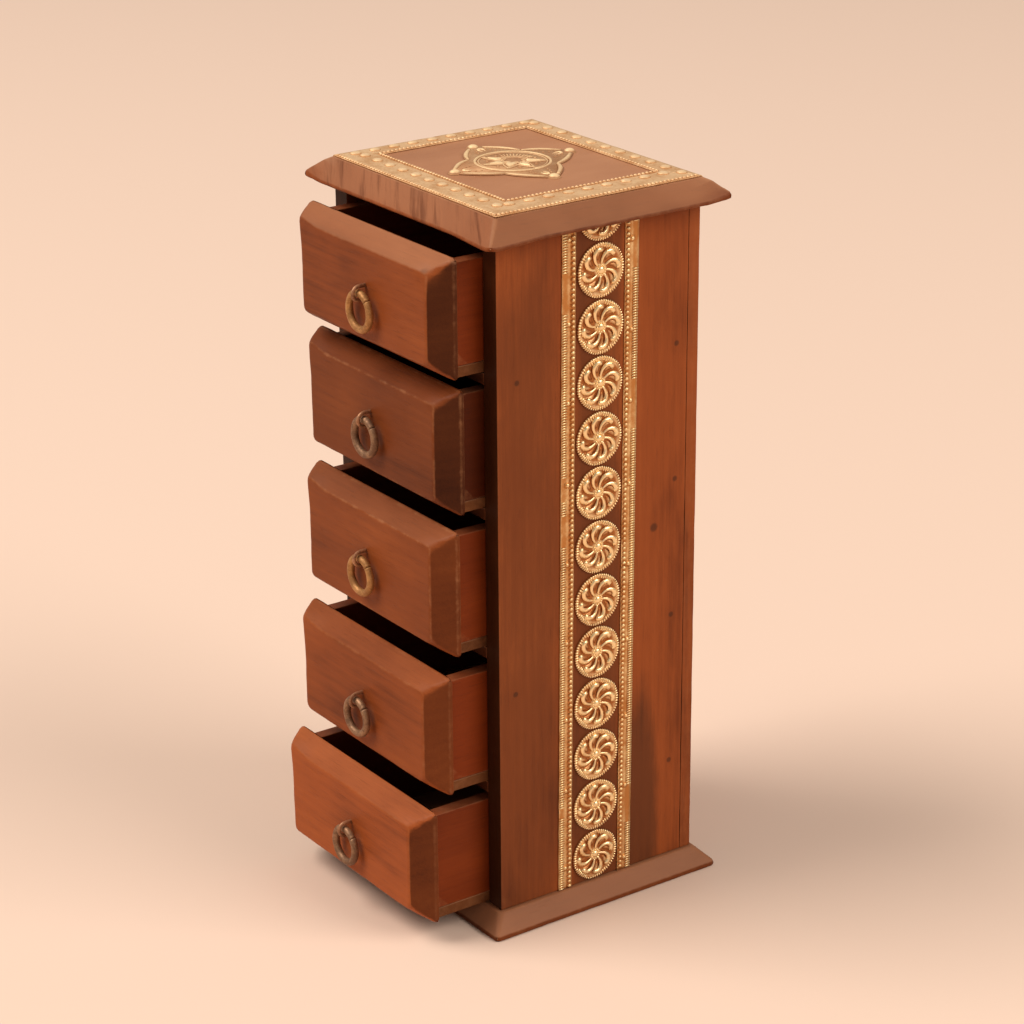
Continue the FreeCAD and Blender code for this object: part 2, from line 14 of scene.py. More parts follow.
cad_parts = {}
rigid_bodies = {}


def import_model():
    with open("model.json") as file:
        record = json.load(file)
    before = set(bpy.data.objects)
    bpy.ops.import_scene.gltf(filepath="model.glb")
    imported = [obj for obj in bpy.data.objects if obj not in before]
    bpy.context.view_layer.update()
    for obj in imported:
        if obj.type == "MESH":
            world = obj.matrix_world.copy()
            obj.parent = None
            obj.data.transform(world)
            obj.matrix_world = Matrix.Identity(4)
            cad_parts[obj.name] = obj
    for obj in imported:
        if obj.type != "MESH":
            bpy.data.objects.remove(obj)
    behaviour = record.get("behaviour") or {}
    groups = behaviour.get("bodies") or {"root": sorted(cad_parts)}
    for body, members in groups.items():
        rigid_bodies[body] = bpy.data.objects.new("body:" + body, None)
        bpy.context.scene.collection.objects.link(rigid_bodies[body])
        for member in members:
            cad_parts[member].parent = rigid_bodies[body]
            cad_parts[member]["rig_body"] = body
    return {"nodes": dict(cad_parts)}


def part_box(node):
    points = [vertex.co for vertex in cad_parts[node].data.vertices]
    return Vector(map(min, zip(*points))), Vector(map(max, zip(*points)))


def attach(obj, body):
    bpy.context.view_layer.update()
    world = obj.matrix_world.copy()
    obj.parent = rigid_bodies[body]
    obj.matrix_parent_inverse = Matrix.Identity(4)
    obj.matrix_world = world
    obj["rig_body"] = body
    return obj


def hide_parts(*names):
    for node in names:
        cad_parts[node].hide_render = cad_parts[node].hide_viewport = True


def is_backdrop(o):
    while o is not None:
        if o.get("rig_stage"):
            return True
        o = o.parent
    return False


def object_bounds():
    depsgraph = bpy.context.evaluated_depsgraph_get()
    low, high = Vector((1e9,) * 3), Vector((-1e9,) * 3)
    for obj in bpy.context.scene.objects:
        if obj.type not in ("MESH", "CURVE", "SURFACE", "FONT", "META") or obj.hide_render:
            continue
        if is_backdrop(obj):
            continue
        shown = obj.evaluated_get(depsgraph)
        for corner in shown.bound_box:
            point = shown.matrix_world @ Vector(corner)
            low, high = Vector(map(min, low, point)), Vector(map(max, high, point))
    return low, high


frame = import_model()
cad_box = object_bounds()
MM = 0.001
WELD, TOUCHING = 1e-6, 1e-7
X, Y, Z = Vector((1, 0, 0)), Vector((0, 1, 0)), Vector((0, 0, 1))

# %% [markdown]
# ## Where the camera stands
# The photograph was taken from the right of the chest's front, a little above it, with a long lens.
# A camera is a place and three directions: its right, its up and its back, which points away from
# the view. Turning right and up together by a small roll sets the horizon.

# %% Camera
AZIMUTH, ELEVATION, ROLL = math.radians(54.98), math.radians(21.52), math.radians(-0.48)
STAND_OFF = 1291.8 * MM
AIM_FROM = Z * 10.5 * MM
AIM_ACROSS, AIM_UP = -6.94 * MM, 135.05 * MM
SENSOR, LENS = 36, 104.13
SHIFT = (0.0087, 0.0014)

level = Vector((math.cos(AZIMUTH), math.sin(AZIMUTH), 0))
camera_back = Vector((math.sin(AZIMUTH) * math.cos(ELEVATION),
                      -math.cos(AZIMUTH) * math.cos(ELEVATION),
                      math.sin(ELEVATION)))
upright = camera_back.cross(level)
camera_right = level * math.cos(ROLL) + upright * math.sin(ROLL)
camera_up = upright * math.cos(ROLL) - level * math.sin(ROLL)

camera = bpy.data.objects.new("camera", bpy.data.cameras.new("camera"))
bpy.context.scene.collection.objects.link(camera)
turned = Matrix((camera_right, camera_up, camera_back)).transposed().to_4x4()
stand = AIM_FROM + camera_right * AIM_ACROSS + camera_up * AIM_UP + camera_back * STAND_OFF
camera.matrix_world = Matrix.Translation(stand) @ turned
camera.data.sensor_width = SENSOR
camera.data.lens = LENS
camera.data.shift_x, camera.data.shift_y = SHIFT
bpy.context.scene.camera = camera
print("camera at", [round(v, 3) for v in stand])

# %% [markdown]
# ## Writing materials as sums
# A shader is a graph of nodes, and a graph is slow to read. Here a Wire is one output socket, and
# adding, taking away or multiplying wires adds the Math nodes. A Finish is a material with one
# method for every other kind of node.


# %% Wire and Finish
class Wire:
    """One output socket of a material, so that sums can be written in Python."""

    def __init__(self, finish, socket):
        self.finish = finish
        self.socket = socket

    def maths(self, operation, first, second):
        return self.finish.node("ShaderNodeMath", {"operation": operation}, {0: first, 1: second})

    def __add__(self, other):
        return self.maths("ADD", self, other)

    def __radd__(self, other):
        return self.maths("ADD", other, self)

    def __sub__(self, other):
        return self.maths("SUBTRACT", self, other)

    def __rsub__(self, other):
        return self.maths("SUBTRACT", other, self)

    def __mul__(self, other):
        return self.maths("MULTIPLY", self, other)

    def __pow__(self, other):
        return self.maths("POWER", self, other)


class Finish:
    """A material whose nodes are added by name."""

    def __init__(self, name):
        self.material = bpy.data.materials.new(name)
        self.material.use_nodes = True
        self.tree = self.material.node_tree
        self.surface = self.tree.nodes["Principled BSDF"]

    def feed(self, socket, value):
        if isinstance(value, Wire):
            self.tree.links.new(value.socket, socket)
        else:
            socket.default_value = value

    def node(self, kind, settings=None, sockets=None, output=0):
        made = self.tree.nodes.new(kind)
        for name, value in (settings or {}).items():
            setattr(made, name, value)
        for name, value in (sockets or {}).items():
            self.feed(made.inputs[name], value)
        return Wire(self, made.outputs[output])

    def place(self):
        """Object coordinates, as three wires."""
        whole = self.node("ShaderNodeTexCoord", output="Object")
        return [self.node("ShaderNodeSeparateXYZ", None, {0: whole}, axis) for axis in range(3)]

    def point(self, x, y, z):
        return self.node("ShaderNodeCombineXYZ", None, {0: x, 1: y, 2: z})

    def grains(self, point, scale, detail=3, rough=0.55):
        """Cloudy noise from 0 to 1."""
        return self.node("ShaderNodeTexNoise", None,
                         {"Vector": point, "Scale": scale, "Detail": detail, "Roughness": rough})

    def step(self, value, start, end):
        """A soft step from 0 at start to 1 at end."""
        return self.node("ShaderNodeMapRange", {"interpolation_type": "SMOOTHSTEP"},
                         {0: value, 1: start, 2: end, 3: 0.0, 4: 1.0})

    def mix(self, share, first, second, blend="MIX"):
        """Two colours mixed by a share from 0 to 1."""
        colours = [(*colour, 1) if isinstance(colour, tuple) else colour for colour in (first, second)]
        return self.node("ShaderNodeMix", {"data_type": "RGBA", "blend_type": blend},
                         {0: share, 6: colours[0], 7: colours[1]}, 2)

    def bump(self, height, depth, strength):
        return self.node("ShaderNodeBump", None,
                         {"Height": height, "Distance": depth, "Strength": strength})

    def set(self, **sockets):
        for name, value in sockets.items():
            self.feed(self.surface.inputs[name.replace("_", " ").title()], value)
        return self.material


print("materials are written as sums of wires")

# %% [markdown]
# ## Floor and light
# A plain pale floor fills the view, since the camera looks down. The light is soft: a pale world,
# one large lamp high on the left of the picture and a weaker one on the right, both warm.

# %% Floor
FLOOR_COLOUR = (0.755, 0.565, 0.45)
FLOOR_REACH = 6.0

floor_shape = bmesh.new()
bmesh.ops.create_grid(floor_shape, x_segments=1, y_segments=1, size=FLOOR_REACH)
floor_mesh = bpy.data.meshes.new("floor")
floor_shape.to_mesh(floor_mesh)
floor_shape.free()
floor = bpy.data.objects.new("floor", floor_mesh)
bpy.context.scene.collection.objects.link(floor)
pale = Finish("pale_floor")
floor_mesh.materials.append(pale.set(base_color=(*FLOOR_COLOUR, 1), roughness=0.9))
floor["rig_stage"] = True
print("floor of", 2 * FLOOR_REACH, "m")

# %% Lamps and world
WARM_WHITE = (1.0, 0.93, 0.86)
WORLD_STRENGTH = 0.34

world = bpy.data.worlds.new("pale_room")
bpy.context.scene.world = world
world.use_nodes = True
sky = world.node_tree.nodes["Background"]
sky.inputs["Color"].default_value = (*WARM_WHITE, 1)
sky.inputs["Strength"].default_value = WORLD_STRENGTH


def soft_lamp(name, towards, away, size, watts):
    """A square lamp that shines at the middle of the chest from one direction."""
    lamp = bpy.data.objects.new(name, bpy.data.lights.new(name, "AREA"))
    bpy.context.scene.collection.objects.link(lamp)
    lamp.data.shape = "SQUARE"
    lamp.data.size = size
    lamp.data.energy = watts
    lamp.data.color = WARM_WHITE
    direction = towards.normalized()
    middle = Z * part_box("top_board")[1].z / 2
    facing = direction.to_track_quat("Z", "Y").to_matrix().to_4x4()
    lamp.matrix_world = Matrix.Translation(middle + direction * away) @ facing
    return lamp


key = soft_lamp("key_lamp", Vector((-0.5, -0.85, 1.3)), away=5.0, size=2.7, watts=228)
fill = soft_lamp("fill_lamp", Vector((1.0, 0.55, 0.85)), away=5.0, size=3.2, watts=168)
bpy.context.scene.view_settings.view_transform = "Standard"
print("lamps:", key.data.energy, "and", fill.data.energy, "W")

# %% [markdown]
# ## Stained wood
# The real wood is a close-grained hardwood under a red-brown stain with a satin polish. Four things
# show: slow changes of tone along the board, faint growth rings, fine dark pores that run with the
# grain, and arrises where the stain is rubbed thin. End grain takes stain differently, so it has a
# shade of its own. Level faces gather dust mixed with a painted sheen, and faces that look to the
# front can take a painted shade. The pattern reads Object coordinates, squeezed along the grain so
# that every mark becomes a streak. Each board stores how far each point is from its nearest arris,
# which tells where it is worn.

# %% Wood finish
SQUEEZE = {"fibre": 0.045, "cloud": 0.42, "pores": 0.035}
SCALE = {"drift": 34, "cloud": 30, "lines": 900, "pores": 2600, "streaks": 190, "scuffs": 210}
PITH_ACROSS, PITH_BELOW = 0.03, 0.11
RING_DENSITY = 1500
WOOD = {
    "deep": (0.075, 0.015, 0.004),
    "body": (0.225, 0.052, 0.012),
    "glow": (0.330, 0.084, 0.020),
    "worn": (0.43, 0.19, 0.085),
    "dusty_sheen": (0.408, 0.190, 0.097),
    "patch_colour": (0.062, 0.022, 0.009),
    "spot": (0.03, 0.014, 0.008),
}
SHEEN = 0.11


def stained_wood(name, grain, shade, end_shade=0.55, front_stain_and_painted_shade=1.0, tint=(1, 1, 1), wear=1.0,
                 dust_and_sheen=0.5, level=(0.3, 0.75), streaks=0.0, slab=1.0, lean=0.0, seed=0.0, dark_patches=(),
                 spots=()):
    """Wood whose grain runs along axis 0, 1 or 2. Dust mixed with a painted sheen lies on faces that
    are level enough, and faces that look to the front take a painted shade. Dark patches is a list of
    darker patches on a side panel, and spots is a list of small dark places."""
    finish = Finish(name)
    axes = finish.place()
    along, across, through = (axes[(grain + turn) % 3] for turn in range(3))
    across, through = across * slab, through + across * lean
    fibre, soft, fine = (finish.point(along * SQUEEZE[mark] + seed, across, through)
                         for mark in ("fibre", "cloud", "pores"))
    drift = finish.grains(fibre, SCALE["drift"], 2)
    cloud = finish.grains(soft, SCALE["cloud"], 4)
    pith = (across - PITH_ACROSS) ** 2 + (through + PITH_BELOW) ** 2
    ring_count = pith ** 0.5 * RING_DENSITY + drift * 14 + cloud * 3
    rings = finish.node("ShaderNodeMath", {"operation": "SINE"}, {0: ring_count}) * 0.5 + 0.5
    lines = finish.grains(fibre, SCALE["lines"], 4, 0.75)
    pores = finish.step(finish.grains(fine, SCALE["pores"], 2), 0.60, 0.72)
    tone = drift * 0.2 + cloud * 0.6 + rings * 0.03 + lines * 0.22 - 0.03
    colour = finish.mix(finish.step(tone, 0.2, 0.5), WOOD["deep"], WOOD["body"])
    colour = finish.mix(finish.step(tone, 0.46, 0.74), colour, WOOD["glow"])
    colour = finish.mix(pores * 0.28, colour, WOOD["deep"])

    facing = finish.node("ShaderNodeNewGeometry", output="Normal")
    normal = [finish.node("ShaderNodeSeparateXYZ", None, {0: facing}, axis) for axis in range(3)]
    end_grain = finish.step(normal[grain] * normal[grain], 0.2, 0.5)
    # Faces that look to the front take a painted shade, partly also a darker edge-grain stain.
    front_facing_for_shade = finish.step(normal[1], -0.75, -0.95)
    plain = tuple(shade * part for part in tint)
    dim = finish.mix(end_grain, plain, tuple(end_shade * part for part in plain))
    colour = finish.mix(1.0, colour, dim, "MULTIPLY")
    # Level faces take dust mixed with a painted sheen that lightens them.
    upward_for_dust_and_sheen = finish.step(normal[2], *level)
    colour = finish.mix(upward_for_dust_and_sheen * (0.5 + cloud) * dust_and_sheen, colour, WOOD["dusty_sheen"])
    streak = finish.step(finish.grains(fibre, SCALE["streaks"], 4), 0.47, 0.7) * end_grain
    colour = finish.mix(streak * streaks, colour, WOOD["deep"])
    # Each dark patch darkens the wood inside a ragged ellipse across y and z.
    for (y, z), (wide, tall), depth in dark_patches:
        reach = ((axes[1] - y) * (1 / wide)) ** 2 + ((axes[2] - z) * (1 / tall)) ** 2
        patch = finish.step(reach + (cloud - 0.5) * 2 + (lines - 0.5) * 0.6, 1.4, 0.2)
        colour = finish.mix(patch * depth, colour, WOOD["patch_colour"])
    for at, radius in spots:
        away = (axes[0] - at.x) ** 2 + (axes[1] - at.y) ** 2 + (axes[2] - at.z) ** 2
        dark = finish.step(away, radius**2, (radius * 0.45) ** 2)
        colour = finish.mix(dark * 0.6, colour, WOOD["spot"])

    gap = finish.node("ShaderNodeAttribute", {"attribute_name": "edge_mm"}, output="Fac")
    scuffs = finish.grains(finish.point(*axes), SCALE["scuffs"], 4, 0.7)
    rubbed = finish.step(gap + scuffs * 2.6, 2.2, 0.75) * wear
    colour = finish.mix(rubbed * 0.5, colour, WOOD["worn"])
    # The painted front shade multiplies the finished colour.
    front_stain_and_shade_dim = finish.mix(front_facing_for_shade, (1, 1, 1), (front_stain_and_painted_shade,) * 3)
    colour = finish.mix(1.0, colour, front_stain_and_shade_dim, "MULTIPLY")
    gloss = 0.36 + lines * 0.12 + cloud * 0.1 + end_grain * 0.16 + rubbed * 0.1
    finish.surface.inputs["Specular IOR Level"].default_value = SHEEN
    height = lines * 0.6 - pores * 0.7 + scuffs * 0.4
    return finish.set(base_color=colour, roughness=gloss, normal=finish.bump(height, 0.09 * MM, 0.55))


print("wood colours:", ", ".join(WOOD))

# %% [markdown]
# ## Boards with eased arrises
# A CAD board is an exact block. A real one has arrises that a plane and years of hands have eased,
# and faces that aren't quite flat. So each board is copied, its arrises are bevelled, planes cut it
# into cells, and every point is pushed a little by smooth noise. A weighted normal keeps the wide
# faces flat where they meet the narrow round of an arris.


# %% Board maker
SHARP = math.radians(28)
SLOW_SCALE, NICK_SCALE = 38, 190
NICK_REACH_MM, NICK_DEPTH = 1.6, 3.2


def distance_to_arrises(points, arrises):
    """Distance in millimetres from each point to the nearest of some straight arrises."""
    nearest = np.full(len(points), np.inf)
    for start, end in arrises:
        run = end - start
        along = np.clip((points - start) @ run / (run @ run), 0, 1)
        gap = np.linalg.norm(points - (start + along[:, None] * run), axis=1)
        nearest = np.minimum(nearest, gap)
    return nearest / MM


def finished(name, shape, body, slot, material, *nodes):
    """Make an object of a bmesh. It rides on a body and stands for the CAD nodes named."""
    mesh = bpy.data.meshes.new(name)
    shape.to_mesh(mesh)
    shape.free()
    mesh.materials.append(material)
    mesh.polygons.foreach_set("use_smooth", [True] * len(mesh.polygons))
    made = bpy.data.objects.new(name, mesh)
    bpy.context.scene.collection.objects.link(made)
    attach(made, body)
    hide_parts(*nodes)
    return made


def whole(shape):
    return shape.verts[:] + shape.edges[:] + shape.faces[:]


def cut_cells(shape, low, high, cell):
    """Cut a shape by evenly spaced planes across each axis."""
    for axis, direction in enumerate((X, Y, Z)):
        count = max(1, round((high[axis] - low[axis]) / cell))
        for cut in range(1, count):
            at = low + (high - low) * (cut / count)
            bmesh.ops.bisect_plane(shape, geom=whole(shape), dist=TOUCHING, plane_co=at,
                                   plane_no=direction)


def cut_off(shape, at, direction):
    """Cut away what lies past a plane."""
    bmesh.ops.bisect_plane(shape, geom=whole(shape), dist=TOUCHING, plane_co=at, plane_no=direction,
                           clear_outer=True)


def ease(shape, edges, offset):
    """Round some arrises."""
    bmesh.ops.bevel(shape, geom=edges, offset=offset, offset_type="OFFSET", segments=3, profile=0.5,
                    affect="EDGES", material=-1)


def at_corner(edge):
    """Whether an edge is short or slants."""
    run = edge.verts[1].co - edge.verts[0].co
    return run.length < 3 * MM or max(abs(part) for part in run.normalized()) < 0.99


def worn_board(node, slot, material, arris=0.55 * MM, corner_arris=0, cell=7 * MM, wander=0.06 * MM,
               dents=()):
    """A board with eased arrises in place of a CAD node. A dent is a place, a reach and a push.
    With a corner arris, the slanting and short edges at its corners are rounded by that much first."""
    shape = bmesh.new()
    shape.from_mesh(frame["nodes"][node].data)
    bmesh.ops.remove_doubles(shape, verts=shape.verts, dist=WELD)
    bmesh.ops.dissolve_limit(shape, angle_limit=math.radians(1), verts=shape.verts, edges=shape.edges)
    arrises = [[np.array(corner.co) for corner in edge.verts] for edge in shape.edges]
    if corner_arris:
        ease(shape, [edge for edge in shape.edges if at_corner(edge)], corner_arris)
    ease(shape, [edge for edge in shape.edges if edge.calc_face_angle() > SHARP], arris)
    cut_cells(shape, *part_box(node), cell)
    points = np.array([corner.co for corner in shape.verts])
    gaps = distance_to_arrises(points, arrises)
    shape.normal_update()
    for corner, gap in zip(shape.verts, gaps):
        slow = noise.noise(corner.co * SLOW_SCALE)
        near = max(0.0, 1 - gap / NICK_REACH_MM)
        nick = max(0.0, noise.noise(corner.co * NICK_SCALE + X * 7)) * near
        corner.co -= corner.normal * wander * (1.1 + slow + NICK_DEPTH * nick)
        for at, reach, push in dents:
            share = max(0.0, 1 - ((corner.co - at).length / reach) ** 2)
            corner.co += push * share**2
    made = finished(f"worn_{node}", shape, frame["nodes"][node]["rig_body"], slot, material, node)
    made.data.attributes.new("edge_mm", "FLOAT", "POINT").data.foreach_set("value", gaps)
    made.modifiers.new("flat_faces", "WEIGHTED_NORMAL").weight = 80
    return made


print("boards are cut in cells of 3 to 7 mm")

# %% [markdown]
# ## The carcass
# Two side panels stand on a bevelled base and carry a bevelled top; a back closes them and four
# shelves tie them together. The grain of a side runs up, and that of the top and base runs from
# front to back, so the front bevel of the top shows end grain. The top is hand-cut: its right edge
# hangs at the front, and its corners are blunt. The sides are darker behind the brass, towards the
# front and low down at the rear, and a knot and a few sunk nails show as dark spots. Faces of the
# sides, back and shelves that look to the front take a painted shade, partly also a darker stain on
# the edge grain.

# %% Carcass boards
side_low, side_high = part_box("side_panel_right")
SIDE_FACE = side_high.x
SIDE_NAILS = [(9.5, 228), (88, 229), (88, 171), (87, 111), (87, 44), (8, 96)]
SIDE_KNOT = (77.5, 152)
NAIL_SPOT, KNOT_SPOT = 1.5 * MM, 2.3 * MM


def on_side(from_front, above_base):
    """A place on a side panel, given in millimetres from its front edge and above the base."""
    return side_low.y + from_front * MM, side_low.z + above_base * MM


brass_low, brass_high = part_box("rosette_strip_right")
behind_brass = ((brass_low.y + brass_high.y) / 2 + 0.8 * MM, side_low.z + 140 * MM)
# Darker patches on the sides: low at the rear, towards the front, and a band behind the brass.
side_dark_patches = [
    (on_side(72, 18), (9 * MM, 62 * MM), 0.65),
    (on_side(12, 130), (24 * MM, 190 * MM), 0.45),
    (behind_brass, (14 * MM, 700 * MM), 0.6),
]
side_spots = [(Vector((SIDE_FACE, *on_side(*SIDE_KNOT))), KNOT_SPOT)]
side_spots += [(Vector((SIDE_FACE, *on_side(*nail_at))), NAIL_SPOT) for nail_at in SIDE_NAILS]
# Where the sides and back face the front, they take a painted shade.
side_wood = stained_wood("side_wood", 2, shade=1.22, front_stain_and_painted_shade=0.2, wear=0.2, seed=1.7,
                         dark_patches=side_dark_patches, spots=side_spots)
# The top's dust is mixed with painted sheen, and its end-grain front bevel is lightened, partly as
# painted sheen.
top_wood = stained_wood("top_wood", 1, shade=0.72, wear=0.6, end_shade=1.35, dust_and_sheen=0.85,
                        level=(0.45, 0.98), streaks=0.6, slab=0.2, lean=1.6, seed=4.2)
base_wood = stained_wood("base_wood", 1, shade=0.7, end_shade=0.7, wear=0.6, slab=0.3, seed=7.9)
# The shelves' front edges take a painted shade.
plain_wood = stained_wood("plain_wood", 0, shade=0.8, front_stain_and_painted_shade=0.35, wear=0.2, seed=2.6)

top_low, top_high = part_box("top_board")
near_corner = Vector((top_high.x, top_low.y, top_low.z))
far_corner = Vector((top_high.x, top_high.y, top_low.z))
left_corner = Vector((top_low.x, top_low.y, top_low.z))
under, over = Z * -9 * MM, Z * 3.5 * MM
far_hip = far_corner + Vector((-4.4, -4.4, 5.6)) * MM
left_hip = left_corner + Vector((4.4, 4.4, 5.6)) * MM
top_dents = [
    (near_corner, 4 * MM, Vector((-0.7, 0.7, 0.5)) * MM),
    (near_corner + under, 30 * MM, Z * -1.5 * MM),
    (far_corner + over, 5 * MM, Z * 1.6 * MM),
    (left_corner + over, 5 * MM, Z * 1.2 * MM),
    (far_hip, 10 * MM, Z * 1.7 * MM),
    (left_hip, 10 * MM, Z * 1.6 * MM),
]
worn_board("top_board", "carcass_wood", top_wood, arris=0.7 * MM, corner_arris=1.3 * MM, cell=3 * MM,
           wander=0.1 * MM, dents=top_dents)
worn_board("base_board", "carcass_wood", base_wood, arris=0.7 * MM, corner_arris=2 * MM,
           cell=4.5 * MM, wander=0.1 * MM)
for side in ("left", "right"):
    worn_board(f"side_panel_{side}", "carcass_wood", side_wood, arris=0.35 * MM)
worn_board("back_panel", "carcass_wood", side_wood, arris=0.2 * MM)
for shelf in range(1, 5):
    worn_board(f"shelf_{shelf}", "carcass_wood", plain_wood)
print("carcass: 9 boards")

# %% [markdown]
# ## The drawers
# A front is a thick board with a hand-cut bevel on all four edges, its grain lying across. The side
# bevels are end grain and dark. Behind it, the box is thinner, redder wood on a dull floor, with its
# own shade in each drawer; its redness is partly painted bounce light and its shade partly painted
# shadow, darkest in the second drawer. Each front gets its own seed, so no two have the same figure,
# and the top one has corners rubbed round and a small chip.

# %% Drawer boards
# From the top down: shades of the front, its side bevels and the box, then the front's wear and dust.
# The box shades are partly painted shadow, darkest in the second drawer; the dust is mixed with a
# painted sheen, none on the second front, which lies in the shadow of the first.
LOOKS = [
    (1.05, 0.29, 0.77, 0.6, 0.42),
    (0.74, 0.42, 0.3, 0.9, 0.0),
    (0.95, 0.68, 0.7, 1.0, 0.12),
    (1.14, 0.60, 0.8, 0.6, 0.06),
    (1.5, 0.40, 0.6, 0.45, 0.1),
]
FRONT_BEVEL = Vector((7.2, 0, 5.8)) * MM
INWARDS = Vector((-0.5, 0.7, -0.5)) * MM

floor_wood = stained_wood("drawer_floor_wood", 0, shade=0.6, end_shade=1.0, tint=(0.9, 1.2, 1.5),
                          wear=0.4, seed=5.1)
for drawer, (shade, bevel_shade, box_tone_and_painted_shade, wear, dust_and_sheen) in enumerate(LOOKS, 1):
    name = f"drawer_{drawer}"
    low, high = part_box(f"{name}_front")
    top_right = Vector((high.x - FRONT_BEVEL.x, low.y, high.z - FRONT_BEVEL.z))
    low_right = Vector((high.x - FRONT_BEVEL.x, low.y, low.z + FRONT_BEVEL.z))
    top_left = Vector((low.x + FRONT_BEVEL.x, low.y, high.z - FRONT_BEVEL.z))
    dents = [
        (top_right, 6 * MM, INWARDS * 0.7),
        (low_right, 4 * MM, Vector((-0.3, 0.4, 0.3)) * MM),
        (top_left, 13 * MM, Vector((-1.6, 0.3, 2.0)) * MM),
    ]
    chips = []
    if drawer == 1:
        chips = [(top_right + Vector((-2.5, 0, 1.5)) * MM, 3.4 * MM), (low_right, 1.6 * MM)]
        dents += [(top_right, 10 * MM, INWARDS), (high, 4 * MM, INWARDS)]
    front_wood = stained_wood(f"front_wood_{drawer}", 0, shade, bevel_shade, wear=wear, dust_and_sheen=dust_and_sheen,
                              seed=0.9 * drawer, spots=chips)
    worn_board(f"{name}_front", "front_wood", front_wood, arris=0.9 * MM, corner_arris=2.2 * MM,
               cell=3 * MM, wander=0.1 * MM, dents=dents)
    # The box's redder tint is partly painted bounce light, and its shade partly painted shadow.
    drawer_wood = stained_wood(f"drawer_wood_{drawer}", 1, box_tone_and_painted_shade, end_shade=0.8,
                               tint=(1.0, 0.66, 0.42), wear=0.5, dust_and_sheen=0.12, seed=3.3)
    for board in ("side_left", "side_right", "back"):
        worn_board(f"{name}_{board}", "drawer_wood", drawer_wood, arris=0.4 * MM)
    worn_board(f"{name}_floor", "drawer_wood", floor_wood, arris=0.4 * MM)
print("drawers: 25 boards")

# %% [markdown]
# ## Brass
# The brass is pressed sheet and bent wire. High places are rubbed bright; low ones keep a brown
# tarnish. Every pattern below is drawn flat with its height along Z, and each stamped copy stores
# that height, so the finish knows what is high and what is low on any side of the chest.


# %% Brass finish
def aged_brass(name, bright, tarnish, low, high, metal, polish=0.24, grit=0.07):
    """Brass that is tarnished where it is low and bright where it is high."""
    finish = Finish(name)
    axes = finish.point(*finish.place())
    rise = finish.node("ShaderNodeAttribute", {"attribute_name": "rise_mm"}, output="Fac")
    cloud = finish.grains(axes, 130, 4, 0.65)
    speck = finish.grains(axes, 900, 3, 0.6)
    rubbed = finish.step(rise + (cloud - 0.5) * 0.9 + (speck - 0.5) * 0.35, low, high)
    colour = finish.mix(rubbed, tarnish, bright)
    colour = finish.mix(finish.step(cloud, 0.58, 0.75) * 0.35, colour, tarnish)
    gloss = polish + (1 - rubbed) * 0.2 + speck * 0.12
    return finish.set(base_color=colour, metallic=metal, roughness=gloss,
                      normal=finish.bump(speck + cloud, grit * MM, 0.5))


side_brass = aged_brass("side_brass", (0.98, 0.73, 0.40), (0.42, 0.152, 0.045), low=0.25, high=0.9,
                        metal=0.9)
top_brass = aged_brass("top_brass", (1.0, 0.71, 0.41), (0.51, 0.255, 0.10), low=0.04, high=0.85,
                       polish=0.42, metal=0.6, grit=0.22)
strip_brass = aged_brass("strip_brass", (1.0, 0.80, 0.43), (0.53, 0.22, 0.06), low=0.12, high=0.86,
                         metal=0.8)
plaque_brass = aged_brass("plaque_brass", (0.95, 0.69, 0.38), (0.44, 0.215, 0.095), low=0.2, high=1.3,
                          polish=0.45, metal=0.4, grit=0.16)
print("brass finishes: side, top, strip and plaque")

# %% [markdown]
# ## Stamping
# Pressed ornament repeats a few small dies. A die is a small mesh made once: a dome is a quarter
# curve spun about its axis, and a ridge is a ring of points extruded along a path. A stamp copies a
# die into a larger piece at any place and turn.


# %% Round dies
FOOT = 0.1 * MM


def moved(x, y, z):
    return Matrix.Translation((x, y, z))


def sized(x, y, z):
    return Matrix.Diagonal((x, y, z, 1))


def turned_by(turn):
    return Matrix.Rotation(turn, 4, "Z")


def as_die(name, shape):
    """Keep a finished shape as a mesh that can be stamped."""
    die = bpy.data.meshes.new(f"{name}_die")
    shape.to_mesh(die)
    shape.free()
    return die


def spun_die(name, section, steps):
    """A round die, spun from a section: a list of distances from the axis and heights."""
    shape = bmesh.new()
    corners = [shape.verts.new((out, 0, up)) for out, up in section]
    edges = [shape.edges.new(pair) for pair in zip(corners, corners[1:])]
    bmesh.ops.spin(shape, geom=corners + edges, axis=Z, cent=(0, 0, 0), angle=2 * math.pi, steps=steps,
                   use_merge=True)
    bmesh.ops.remove_doubles(shape, verts=shape.verts, dist=TOUCHING)
    bmesh.ops.recalc_face_normals(shape, faces=shape.faces)
    return as_die(name, shape)


def dome_die(name, radius, height, around=8, rings=3):
    """A round dome with its foot just under the sheet."""
    turns = [math.pi / 2 * ring / rings for ring in range(rings + 1)]
    curve = [(radius * math.cos(turn), height * math.sin(turn)) for turn in turns]
    return spun_die(name, [(radius, -FOOT)] + curve, around)


bead = dome_die("bead", 0.58 * MM, 0.62 * MM)
nail = dome_die("nail", 1.05 * MM, 0.8 * MM, 12)
print("dies:", len(bead.polygons), "faces in a bead,", len(nail.polygons), "in a nail")


# %% Ridges and stamps
def verts_of(items):
    return [item for item in items if isinstance(item, bmesh.types.BMVert)]


